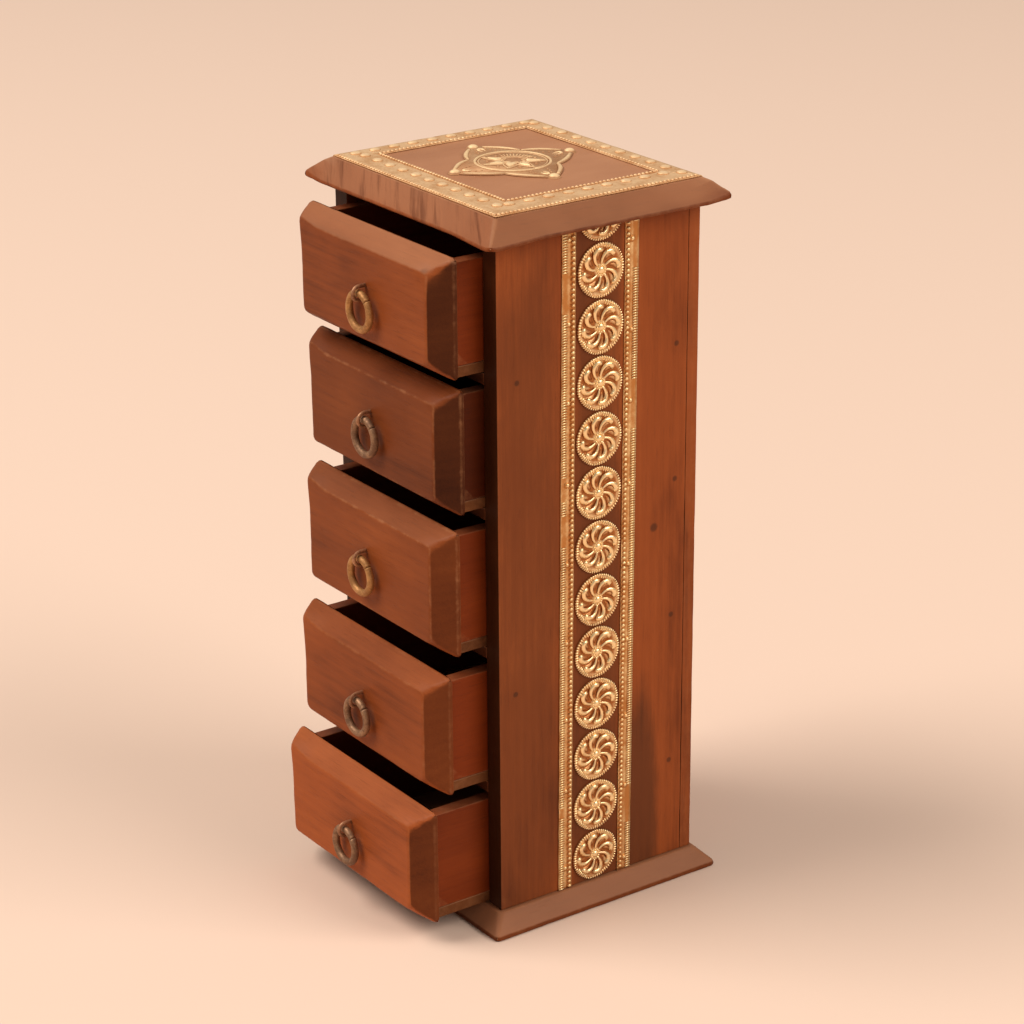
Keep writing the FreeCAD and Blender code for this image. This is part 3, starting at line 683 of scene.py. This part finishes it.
def draw_ridge(shape, path, widths, sides=6, flat=1.0):
    """Extrude a ring of points along a path in the XY plane, with a width at each point."""
    ring = bmesh.ops.create_circle(shape, segments=sides, radius=1)["verts"]
    edges = list({edge for corner in ring for edge in corner.link_edges})
    last = Matrix.Identity(4)
    for index, (at, width) in enumerate(zip(path, widths)):
        ahead = path[min(index + 1, len(path) - 1)] - path[max(index - 1, 0)]
        side = Z.cross(ahead).normalized()
        station = Matrix((side * width, Z * width * flat, ahead.normalized())).transposed().to_4x4()
        station = Matrix.Translation(at) @ station
        if index:
            made = bmesh.ops.extrude_edge_only(shape, edges=edges)["geom"]
            ring = verts_of(made)
            edges = [item for item in made if isinstance(item, bmesh.types.BMEdge)]
        bmesh.ops.transform(shape, matrix=station @ last.inverted(), verts=ring)
        last = station
    ends = [edge for edge in shape.edges if edge.is_boundary]
    bmesh.ops.holes_fill(shape, edges=ends)
    bmesh.ops.recalc_face_normals(shape, faces=shape.faces)


def ridge_die(name, path, widths, sides=6, flat=1.0):
    shape = bmesh.new()
    draw_ridge(shape, path, widths, sides, flat)
    return as_die(name, shape)


def line_die(name, path, width, sides, flat):
    """A ridge of the same width all along."""
    return ridge_die(name, path, [width] * len(path), sides, flat)


def stamp(shape, die, matrix):
    """Press a die into a shape. Each point keeps its height above the sheet."""
    rise = shape.verts.layers.float.get("rise_mm") or shape.verts.layers.float.new("rise_mm")
    start = len(shape.verts)
    shape.from_mesh(die)
    shape.verts.ensure_lookup_table()
    pressed = shape.verts[start:]
    for corner in pressed:
        corner[rise] = corner.co.z / MM
    bmesh.ops.transform(shape, matrix=matrix, verts=pressed)


print("ridges are drawn along paths, and dies are stamped")

# %% [markdown]
# ## A whirling rosette
# Each rosette is a round of sheet with a toothed rim. Eight thin ridges leave the hub, run outwards
# and hook round clockwise into a round head. A list of places along the ridge, each as a distance
# and a turn, draws one ridge, and turning it draws the whirl. A low leaf swells in each hollow between
# the ridges. In the middle a dome-headed nail sits in a ring of fine beads.

# %% Rosette die
ROSETTE_RADIUS = (brass_high.y - brass_low.y) / 2
PETALS = 8
TEETH = 60
HUB_BEADS = 12
HOOK = [(2.1, 39), (3.2, 38), (4.4, 36), (5.6, 32), (6.7, 27), (7.7, 20), (8.4, 12.5), (8.6, 5),
        (8.2, -1.5), (7.5, -4)]
HOOK_WIDTHS = [0.44, 0.52, 0.62, 0.76, 0.92, 1.06, 1.16, 1.22, 1.2, 0.7]
LEAF = [(4.2, 14), (5.4, 13), (6.6, 9), (7.7, 3), (8.6, -5), (9.1, -12)]
LEAF_WIDTHS = [0.35, 0.8, 1.15, 1.3, 1.05, 0.4]
SECTION = [(0, 0.8), (2.2, 0.75), (3.3, 0.22), (7.0, 0.15), (8.8, 0.3), (9.8, 0.6), (10.8, 0.55),
           (11.0, -0.1)]


def polar(out, turn, height):
    return Vector((out * math.cos(turn), out * math.sin(turn), height))


def section_in_mm(section):
    return [(out * MM, up * MM) for out, up in section]


def whirl_die(name, places, widths, height, flat):
    """A ridge through places given in millimetres from the hub and degrees round it."""
    path = [polar(out * MM, math.radians(90 + turn), height) for out, turn in places]
    return ridge_die(name, path, [width * MM for width in widths], flat=flat)


petal = whirl_die("petal", HOOK, HOOK_WIDTHS, 0.5 * MM, 0.92)
leaf = whirl_die("leaf", LEAF, LEAF_WIDTHS, 0.12 * MM, 0.36)
rosette_sheet = spun_die("rosette_sheet", section_in_mm(SECTION), 48)
rosette_shape = bmesh.new()
stamp(rosette_shape, rosette_sheet, Matrix.Identity(4))
for count in range(PETALS):
    turn = 2 * math.pi * count / PETALS
    stamp(rosette_shape, petal, turned_by(turn))
    stamp(rosette_shape, leaf, turned_by(turn))
for count in range(TEETH):
    turn = 2 * math.pi * count / TEETH
    worn = noise.noise(polar(3.6, turn, 0.5))
    size = sized(1.6 + 1.6 * worn, 0.74, 0.95 + 0.5 * worn)
    at = moved(ROSETTE_RADIUS - (1.15 + 0.9 * worn) * MM, 0, 0.5 * MM)
    stamp(rosette_shape, bead, turned_by(turn) @ at @ size)
for count in range(HUB_BEADS):
    at = moved(1.95 * MM, 0, 0.75 * MM)
    stamp(rosette_shape, bead, turned_by(2 * math.pi * count / HUB_BEADS) @ at @ Matrix.Scale(0.75, 4))
stamp(rosette_shape, nail, moved(0, 0, 0.72 * MM) @ sized(1.55, 1.55, 1.05))
rosette = as_die("rosette", rosette_shape)
print("rosette:", len(rosette.polygons), "faces")

# %% [markdown]
# ## Rosette columns
# A column is a loop of stamps up the side. Presses and hands are never exact, so each rosette is
# turned and shifted a touch. The last one goes under the top board, which a cutting plane stands for.

# %% Rosette strips
ROSETTE_PITCH = 23.16 * MM
LEAN = 0.0074
LEAN_SHIFT = 0.35 * MM
SKEW, SHIFT_ASIDE = 0.16, 0.25 * MM


def lean_back(shape, sign):
    """Tilt the right side's brass a touch towards the rear at its top, as it was nailed on."""
    if sign > 0:
        tilt = Matrix.Identity(4)
        tilt[1][2] = LEAN
        tilt[1][3] = LEAN_SHIFT - LEAN * (side_low.z + side_high.z) / 2
        bmesh.ops.transform(shape, matrix=tilt, verts=shape.verts)


def lay(at, along, across, up):
    """The matrix that lays a die at a place, with its three axes along three directions."""
    return Matrix.Translation(at) @ Matrix((along, across, up)).transposed().to_4x4()


def rosette_strip(node, sign):
    """A column of rosettes on the right side, or on the left one with sign -1."""
    shape = bmesh.new()
    low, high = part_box(node)
    middle = (low.y + high.y) / 2
    z = low.z + ROSETTE_RADIUS
    while z - ROSETTE_RADIUS < side_high.z:
        skew = noise.noise(Vector((3.1, z * 90, sign)))
        shift = noise.noise(Vector((8.4, z * 70, sign))) * SHIFT_ASIDE
        at = Vector((SIDE_FACE * sign, middle + shift, z))
        stamp(shape, rosette, lay(at, Y * sign, Z, X * sign) @ turned_by(skew * SKEW))
        z += ROSETTE_PITCH
    cut_off(shape, Z * side_high.z, Z)
    lean_back(shape, sign)
    return finished(f"pressed_{node}", shape, "carcass", "side_brass", side_brass, node)


for side, sign in (("right", 1), ("left", -1)):
    made = rosette_strip(f"rosette_strip_{side}", sign)
    print(made.name, len(made.data.polygons), "faces")

# %% [markdown]
# ## Beaded edge strips
# The strips beside the rosettes are narrow sheet: a row of beads next to the rosettes, a smooth
# band with a nail now and then, and fine ribs along the outer edge, worn away in places. Beads and
# ribs are stamped in a loop; smooth noise along the strip decides where the ribs are worn.

# %% Sheet and rib dies
SHEET = 0.42 * MM
CHANNEL = 0.22 * MM
BEAD_SEAT = SHEET - 0.15 * MM
RIB_RADIUS, RIB_LENGTH = 0.34 * MM, 2.4 * MM
FLAT_NAIL = [(0, 0.66), (0.6, 0.52), (0.95, 0.1), (1.1, 0), (1.5, 0.02), (1.55, -0.1)]


def sheet_die(name, length, width, cell, channels=(), mitres=()):
    """A strip of sheet, centred on x, from y = 0 to its width, with edges that aren't quite straight.
    A channel runs between two values of y. A mitre is an end, -1 or 1, and how much shorter the far
    edge is there."""
    shape = bmesh.new()
    low, high = Vector((-length / 2, 0, -0.04 * MM)), Vector((length / 2, width, SHEET))
    fit = Matrix.Translation((low + high) / 2) @ Matrix.Diagonal((*(high - low), 1))
    bmesh.ops.create_cube(shape, size=1, matrix=fit)
    cut_cells(shape, low, high, cell)
    for corner in shape.verts:
        rim = min(corner.co.y - low.y, high.y - corner.co.y) < WELD
        inwards = 1 if corner.co.y < width / 2 else -1
        if rim:
            corner.co.y += inwards * (0.12 + 0.12 * noise.noise(corner.co * 160)) * MM
        if corner.co.z > 0:
            sunk = any(start < corner.co.y < end for start, end in channels)
            corner.co.z += noise.noise(corner.co * 130 + X) * 0.07 * MM - (CHANNEL if sunk else 0)
    for end, inset in mitres:
        cut_off(shape, X * end * length / 2, Vector((end * width, inset, 0)).normalized())
    bmesh.ops.holes_fill(shape, edges=[edge for edge in shape.edges if edge.is_boundary])
    return as_die(name, shape)


rib_shape = bmesh.new()
tall = Matrix.Translation(Z * 0.3 * MM) @ sized(1, 1, 1.5)
bmesh.ops.create_cone(rib_shape, cap_ends=True, segments=8, radius1=RIB_RADIUS, radius2=RIB_RADIUS,
                      depth=RIB_LENGTH, matrix=tall @ Matrix.Rotation(math.pi / 2, 4, "X"))
rib = as_die("rib", rib_shape)
flat_nail = spun_die("flat_nail", section_in_mm(FLAT_NAIL), 12)
print("rib:", len(rib.polygons), "faces; flat nail:", len(flat_nail.polygons))

# %% Edge strips
BEAD_PITCH = 2.13 * MM
RIB_PITCH = 1.08 * MM
NAIL_PITCH = 33.9 * MM
FIRST_NAIL = 10.7 * MM
BEAD_LINE, NAIL_LINE, RIB_LINE = 1.35 * MM, 3.5 * MM, 1.5 * MM
WORN_AWAY = -0.3


def edge_strip(node, place, seed):
    """A strip whose die lies with its length along x and its inner, beaded edge at y = 0."""
    low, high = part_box(node)
    length, width = high.z - low.z, high.y - low.y
    shape = bmesh.new()
    channels = [(0.4 * MM, 2.4 * MM), (width - 2.7 * MM, width - 0.3 * MM)]
    stamp(shape, sheet_die(node, length, width, 1.15 * MM, channels), place)
    for count in range(int(length / BEAD_PITCH)):
        along = -length / 2 + (count + 0.5) * BEAD_PITCH
        size = 1.5 + 0.2 * noise.noise(Vector((along * 150, 2.2, seed)))
        at = moved(along, BEAD_LINE, BEAD_SEAT)
        stamp(shape, bead, place @ at @ sized(size, size * 1.3, size * 1.05))
    for count in range(int(length / RIB_PITCH)):
        along = -length / 2 + (count + 0.5) * RIB_PITCH
        if noise.noise(Vector((along * 62, 5.5, seed))) > WORN_AWAY:
            stamp(shape, rib, place @ moved(along, width - RIB_LINE, 0))
    for count in range(int(length / NAIL_PITCH) + 1):
        astray = noise.noise(Vector((count, 9.1, seed))) * 4 * MM
        along = -length / 2 + FIRST_NAIL + count * NAIL_PITCH + astray
        if along < length / 2 - MM:
            stamp(shape, flat_nail, place @ moved(along, NAIL_LINE, SHEET))
    lean_back(shape, seed)
    made = finished(f"pressed_{node}", shape, "carcass", "side_brass", strip_brass, node)
    print(made.name, len(made.data.polygons), "faces")


for side, sign in (("right", 1), ("left", -1)):
    for end in ("front", "rear"):
        node = f"edge_strip_{side}_{end}"
        low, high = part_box(node)
        inner, away = (high.y, -Y) if end == "front" else (low.y, Y)
        up = X * sign
        at = Vector((SIDE_FACE * sign, inner, (low.z + high.z) / 2))
        edge_strip(node, lay(at, away.cross(up), away, up), sign + 0.37 * len(end))

# %% [markdown]
# ## The border of the top
# Four strips of pressed sheet frame the top, mitred at the corners: a row of beads on each edge, a
# row of low bosses between them. The rear and left strips are wide, so their outer edges are folded
# down over the bevel. All four come from one function that lays a strip with its outer edge at y = 0,
# and the fold is one more turn about that edge.

# %% Border strips
TOP_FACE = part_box("top_board")[1].z
OUTER_LOW = Vector((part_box("top_border_front")[0].x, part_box("top_border_front")[0].y, TOP_FACE))
OUTER_HIGH = Vector((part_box("top_border_right")[1].x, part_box("top_border_right")[1].y, TOP_FACE))
INNER_LOW = Vector((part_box("top_border_left")[1].x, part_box("top_border_front")[1].y, TOP_FACE))
INNER_HIGH = Vector((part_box("top_border_right")[0].x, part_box("top_border_rear")[0].y, TOP_FACE))
FLAP = 5.2 * MM
BEVEL_FALL = math.atan2(7.9, 8.8)
BOSS_PITCH, BOSS_RADIUS = 9.5 * MM, 2.5 * MM
FINE_PITCH = 1.93 * MM

boss = dome_die("boss", BOSS_RADIUS, 0.88 * MM, 16, 4)


def bead_row(shape, place, start, end, y, size, stretch=1.0):
    """A row of beads along x, the pitch fitted to the row."""
    count = max(2, round((end - start) / FINE_PITCH))
    for bead_at in range(count):
        x = start + (end - start) * (bead_at + 0.5) / count
        grown = size * (1 + 0.14 * noise.noise(Vector((x * 260, y * 900, 1.5))))
        stamp(shape, bead, place @ moved(x, y, BEAD_SEAT) @ sized(grown, grown * stretch, grown))


def border_strip(node, place, length, width, start_in, end_in, flap, boss_line):
    """A mitred strip. Its inner edge is shorter by start_in and end_in at its two ends."""
    shape = bmesh.new()
    channels = [(width - 2.0 * MM, width - 0.2 * MM)] + ([] if flap else [(0.2 * MM, 2.0 * MM)])
    mitres = ((-1, start_in), (1, end_in))
    stamp(shape, sheet_die(node, length, width, 1.3 * MM, channels, mitres), place)

    def span(y):
        return -length / 2 + start_in * y / width + 0.4 * MM, length / 2 - end_in * y / width - 0.4 * MM

    inner_row = width - 1.0 * MM
    bead_row(shape, place, *span(inner_row), inner_row, 1.36)
    if flap:
        folded = place @ Matrix.Rotation(BEVEL_FALL, 4, "X") @ moved(0, -FLAP, 0)
        stamp(shape, sheet_die(f"{node}_flap", length - 1.2 * MM, FLAP, 2.6 * MM), folded)
        bead_row(shape, folded, -length / 2 + MM, length / 2 - MM, 1.0 * MM, 1.3)
    else:
        bead_row(shape, place, *span(1.0 * MM), 1.1 * MM, 1.36, 1.35)
    first, last = span(boss_line)
    room = last - first - 2 * BOSS_RADIUS
    bosses = round(room / BOSS_PITCH)
    for count in range(bosses + 1):
        x = first + BOSS_RADIUS + room * count / bosses
        low_spot = noise.noise(Vector((x * 130, boss_line * 400, 4.4)))
        at = moved(x, boss_line + low_spot * 0.4 * MM, SHEET - 0.02 * MM)
        squash = sized(1, 0.92 + 0.1 * low_spot, 1 - 0.25 * abs(low_spot))
        stamp(shape, boss, place @ at @ squash)
    made = finished(f"pressed_{node}", shape, "carcass", "top_brass", top_brass, node)
    print(made.name, len(made.data.polygons), "faces,", bosses + 1, "bosses")


centre_x, centre_y = (OUTER_LOW.x + OUTER_HIGH.x) / 2, (OUTER_LOW.y + OUTER_HIGH.y) / 2
wide, deep = OUTER_HIGH.x - OUTER_LOW.x, OUTER_HIGH.y - OUTER_LOW.y
front_in, rear_in = INNER_LOW.y - OUTER_LOW.y, OUTER_HIGH.y - INNER_HIGH.y
left_in, right_in = INNER_LOW.x - OUTER_LOW.x, OUTER_HIGH.x - INNER_HIGH.x
border_strip("top_border_front", lay(Vector((centre_x, OUTER_LOW.y, TOP_FACE)), X, Y, Z),
             wide, front_in, left_in, right_in, False, 9.6 * MM)
border_strip("top_border_right", lay(Vector((OUTER_HIGH.x, centre_y, TOP_FACE)), Y, -X, Z),
             deep, right_in, front_in, rear_in, False, 11.2 * MM)
border_strip("top_border_rear", lay(Vector((centre_x, OUTER_HIGH.y, TOP_FACE)), -X, -Y, Z),
             wide, rear_in, right_in, left_in, True, 3.6 * MM)
border_strip("top_border_left", lay(Vector((OUTER_LOW.x, centre_y, TOP_FACE)), -Y, X, Z),
             deep, left_in, rear_in, front_in, True, 3.6 * MM)

# %% [markdown]
# ## The medallion
# One pressed plaque sits in the middle of the top, held by a dome-headed nail in each of its four
# ears. Its edge is a rounded ridge from ear to notch. Inside, a double ring holds five long hearts
# that fan out towards the near notch, with a ribbed crown behind them. The outline is a formula in
# polar form: a straight chord from an ear to the next notch, bowed outwards, so a plain circle of
# points can be pushed out to it.

# %% Plaque outline
MEDALLION_LOW, MEDALLION_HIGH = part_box("top_medallion")
EAR = (MEDALLION_HIGH.x - MEDALLION_LOW.x) / 2
NOTCH = 19.6 * MM
BOW = 1.7 * MM
EDGE_STEPS = 10


def edge_reach(turn):
    """How far the plaque reaches in a direction, with ears at every quarter turn."""
    fold = abs((turn + math.pi / 4) % (math.pi / 2) - math.pi / 4)
    notch_side = NOTCH * math.sin(math.pi / 4)
    chord = notch_side * EAR / (notch_side * math.cos(fold) + (EAR - notch_side) * math.sin(fold))
    return chord + BOW * math.sin(math.pi * fold / (math.pi / 4))


plaque = bmesh.new()
bmesh.ops.create_circle(plaque, cap_ends=True, segments=64, radius=MM)
for corner in plaque.verts:
    turn = math.atan2(corner.co.y, corner.co.x)
    corner.co = polar(edge_reach(turn) - 0.3 * MM, turn, 0)
lifted = bmesh.ops.extrude_face_region(plaque, geom=plaque.faces[:])["geom"]
bmesh.ops.translate(plaque, vec=Z * SHEET, verts=verts_of(lifted))
bmesh.ops.recalc_face_normals(plaque, faces=plaque.faces)
plaque_sheet = as_die("plaque", plaque)

edge_path, edge_widths = [], []
for step in range(EDGE_STEPS + 1):
    turn = math.radians(7 + 37 * step / EDGE_STEPS)
    edge_path.append(polar(edge_reach(turn) - 1.5 * MM, turn, 0.42 * MM))
    edge_widths.append((0.45 + 0.55 * math.sin(math.pi * (0.12 + 0.8 * step / EDGE_STEPS))) * MM)
edge_ridge = ridge_die("edge_ridge", edge_path, edge_widths, 8, 0.6)
print("plaque: ears reach", round(EAR / MM, 1), "mm and notches", round(NOTCH / MM, 1), "mm")

# %% Hearts and nails
HEART_STEPS = 18


def heart(size, height, stretch=1.9):
    """A long heart with its tip along +x and its two lobes towards the middle."""
    path = []
    for step in range(HEART_STEPS + 1):
        turn = 2 * math.pi * step / HEART_STEPS
        across = 0.8 * math.sin(turn) ** 3
        along = -(0.62 * math.cos(turn) - 0.28 * math.cos(2 * turn) - 0.1 * math.cos(3 * turn))
        path.append(Vector((along * size * stretch, across * size, height)))
    return path


def turn_of(corner):
    return math.atan2(corner.co.y, corner.co.x)


heart_line = line_die("heart_line", heart(3.5 * MM, 0.45 * MM), 0.36 * MM, 5, 1.0)
pillow = bmesh.new()
bmesh.ops.create_circle(pillow, cap_ends=True, segments=HEART_STEPS, radius=MM)
for corner, at in zip(sorted(pillow.verts, key=turn_of), heart(2.7 * MM, 0.3 * MM)):
    corner.co = at
raised = verts_of(bmesh.ops.extrude_face_region(pillow, geom=pillow.faces[:])["geom"])
bmesh.ops.scale(pillow, vec=(0.6, 0.6, 1), verts=raised)
bmesh.ops.translate(pillow, vec=Z * 0.9 * MM, verts=raised)
bmesh.ops.recalc_face_normals(pillow, faces=pillow.faces)
heart_pillow = as_die("heart_pillow", pillow)
ear_nail = dome_die("ear_nail", 2.4 * MM, 1.5 * MM, 16, 5)
print("heart:", len(heart_line.polygons) + len(heart_pillow.polygons), "faces")

# %% Medallion
CIRCLE_STEPS = 48
CIRCLES = ((15.3, 0.66), (13.9, 0.36))
NAIL_OUT, CURL_OUT, CROWN_OUT = 28.2 * MM, 19.2 * MM, 10.2 * MM
HEARTS = ((0, 5.6, 1.25), (1, 7.2, 0.95), (-1, 7.2, 0.95), (2, 7.6, 0.9), (-2, 7.6, 0.9))
HEART_TURN = 2 * math.pi / 7
CROWN_TURN = math.radians(7.5)

medallion = bmesh.new()
place = Matrix.Translation(((MEDALLION_LOW.x + MEDALLION_HIGH.x) / 2,
                            (MEDALLION_LOW.y + MEDALLION_HIGH.y) / 2, TOP_FACE))
stamp(medallion, plaque_sheet, place)
for radius, width in CIRCLES:
    turns = [2 * math.pi * step / CIRCLE_STEPS for step in range(CIRCLE_STEPS + 1)]
    path = [polar(radius * MM, turn, 0.45 * MM) for turn in turns]
    stamp(medallion, line_die("circle", path, width * MM, 6, 0.85), place)
for turn in range(4):
    quarter = place @ turned_by(math.pi / 2 * turn)
    for mirror in (1, -1):
        stamp(medallion, edge_ridge, quarter @ sized(1, mirror, 1))
        for count in range(3):
            dot = polar((18.6 + 2.2 * count) * MM, mirror * math.radians(13 - 3.4 * count), 0.35 * MM)
            stamp(medallion, bead, quarter @ Matrix.Translation(dot) @ Matrix.Scale(0.85, 4))
        curl = moved(CURL_OUT, 0, 0) @ turned_by(-math.pi / 2) @ sized(0.4 * mirror, 0.55, 0.6)
        stamp(medallion, petal, quarter @ curl)
    ear = moved(NAIL_OUT, 0, 0)
    stamp(medallion, boss, quarter @ ear @ sized(1.15, 1.15, 0.6))
    stamp(medallion, ear_nail, quarter @ ear @ Matrix.Translation(Z * 0.08 * MM))
near_notch = place @ turned_by(-math.pi / 4)
for count, out, broad in HEARTS:
    spoke = near_notch @ turned_by(HEART_TURN * count) @ moved(out * MM, 0, 0)
    stamp(medallion, heart_line, spoke @ sized(1.1, broad, 1.2))
    stamp(medallion, heart_pillow, spoke @ sized(1.1, broad, 1))
for count in range(-3, 3):
    between = near_notch @ turned_by(HEART_TURN * (count + 0.5)) @ moved(CROWN_OUT, 0, 0.35 * MM)
    stamp(medallion, bead, between @ sized(1.4, 1.4, 1.1))
crown = near_notch @ turned_by(math.pi)
for count in range(-5, 6):
    spoke = crown @ turned_by(CROWN_TURN * count)
    stamp(medallion, rib, spoke @ moved(CROWN_OUT, 0, 0) @ turned_by(math.pi / 2))
for radius in (6.2, 7.8):
    band = [polar(radius * MM, CROWN_TURN * count, 0.4 * MM) for count in range(-6, 7)]
    stamp(medallion, line_die("crown_band", band, 0.4 * MM, 6, 0.9), crown)
bmesh.ops.recalc_face_normals(medallion, faces=medallion.faces)
made = finished("pressed_top_medallion", medallion, "carcass", "top_brass", plaque_brass,
                "top_medallion")
print(made.name, len(made.data.polygons), "faces")

# %% [markdown]
# ## Ring pulls
# A pull is a ring of thick wire, bent until its ends meet, hanging in the eye of a staple. The ring is
# a circle spun nearly all the way round, which leaves the seam open; shallow grooves beside the seam
# are where pliers held it. The staple is thinner wire drawn along its own bend: a leg, a half turn
# round the ring and a second leg, both driven into the front. The wire has darkened in the hand.


# %% Wire finish
def handled_wire(name, bright, dark):
    """Wire with a brown bloom, rubbed brighter in patches."""
    finish = Finish(name)
    axes = finish.point(*finish.place())
    cloud = finish.grains(axes, 170, 4, 0.65)
    speck = finish.grains(axes, 1300, 3, 0.6)
    rubbed = finish.step(cloud + (speck - 0.5) * 0.5, 0.36, 0.66)
    colour = finish.mix(rubbed, dark, bright)
    gloss = 0.56 - rubbed * 0.14 + speck * 0.1
    return finish.set(base_color=colour, metallic=0.55, roughness=gloss,
                      normal=finish.bump(speck + cloud * 2, 0.1 * MM, 0.5))


golden_wire = handled_wire("golden_wire", (0.50, 0.25, 0.085), (0.32, 0.145, 0.045))
brown_wire = handled_wire("brown_wire", (0.34, 0.185, 0.095), (0.18, 0.09, 0.047))
staple_wire = handled_wire("staple_wire", (0.44, 0.21, 0.105), (0.24, 0.10, 0.045))
print("wire finishes: golden, brown and staple")

# %% Rings and staples
SEAM_AT = math.radians(42)
SEAM_OPEN = math.radians(2.2)
GROOVES = [math.radians(turn) for turn in (8, 14, 158, 338)]
GROOVE_WIDTH = math.radians(2.6)
STAPLE_WIRE = 0.8 * MM
BOW_STEPS = 14


def ring_pull(node, material, seed):
    """An open ring of wire in place of a CAD ring."""
    low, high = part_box(node)
    middle, wire = (low + high) / 2, (high.y - low.y) / 2
    reach = (high.x - low.x) / 2 - wire
    shape = bmesh.new()
    bmesh.ops.create_circle(shape, segments=14, radius=wire, matrix=Matrix.Translation(X * reach))
    bmesh.ops.spin(shape, geom=shape.verts[:] + shape.edges[:], axis=-Y, cent=(0, 0, 0),
                   angle=2 * math.pi - SEAM_OPEN, steps=90)
    bmesh.ops.holes_fill(shape, edges=[edge for edge in shape.edges if edge.is_boundary])
    bmesh.ops.recalc_face_normals(shape, faces=shape.faces)
    for corner in shape.verts:
        turn = math.atan2(corner.co.z, corner.co.x) % (2 * math.pi)
        spine = polar(reach, turn, 0).xzy
        groove = max(max(0.0, 1 - abs(turn - at) / GROOVE_WIDTH) for at in GROOVES)
        uneven = 0.985 + 0.05 * noise.noise(corner.co * 240 + X * seed) - 0.09 * groove
        corner.co = spine + (corner.co - spine) * min(uneven, 1.0)
    start = Matrix.Rotation(SEAM_AT + SEAM_OPEN / 2, 4, -Y)
    bmesh.ops.transform(shape, matrix=Matrix.Translation(middle) @ start, verts=shape.verts)
    body = frame["nodes"][node]["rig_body"]
    return finished(f"bent_{node}", shape, body, "pull_brass", material, node)


def staple(node):
    """A two-legged staple whose bow holds the ring."""
    low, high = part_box(node)
    bend = (high.z - low.z) / 2 - STAPLE_WIRE
    bow_y = low.y + STAPLE_WIRE + bend
    eye = Vector(((low.x + high.x) / 2, bow_y, (low.z + high.z) / 2))
    leg = high.y - bow_y - MM
    bow = [polar(bend, math.pi / 2 - math.pi * step / BOW_STEPS, 0) for step in range(BOW_STEPS + 1)]
    path = [Vector((-leg, bend, 0))] + bow + [Vector((-leg, -bend, 0))]
    shape = bmesh.new()
    draw_ridge(shape, path, [STAPLE_WIRE] * len(path), 10)
    bmesh.ops.transform(shape, matrix=lay(eye, -Y, Z, -X), verts=shape.verts)
    body = frame["nodes"][node]["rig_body"]
    return finished(f"bent_{node}", shape, body, "pull_brass", staple_wire, node)


for drawer in range(1, 6):
    wire_finish = golden_wire if drawer in (1, 3) else brown_wire
    ring_pull(f"drawer_{drawer}_pull_ring", wire_finish, 3.1 * drawer)
    staple(f"drawer_{drawer}_pull_staple")
print("pulls: 5 rings and 5 staples")

# %% [markdown]
# ## Size
# The dressed chest should stay inside the box of the CAD model, so both boxes are printed.

# %% Print the boxes and finish
new_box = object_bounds()
boxes = {"cad": [list(corner) for corner in cad_box], "visual": [list(corner) for corner in new_box]}
for name, (low, high) in boxes.items():
    print(name, "box in mm:", [round(v / MM, 2) for v in low], [round(v / MM, 2) for v in high])
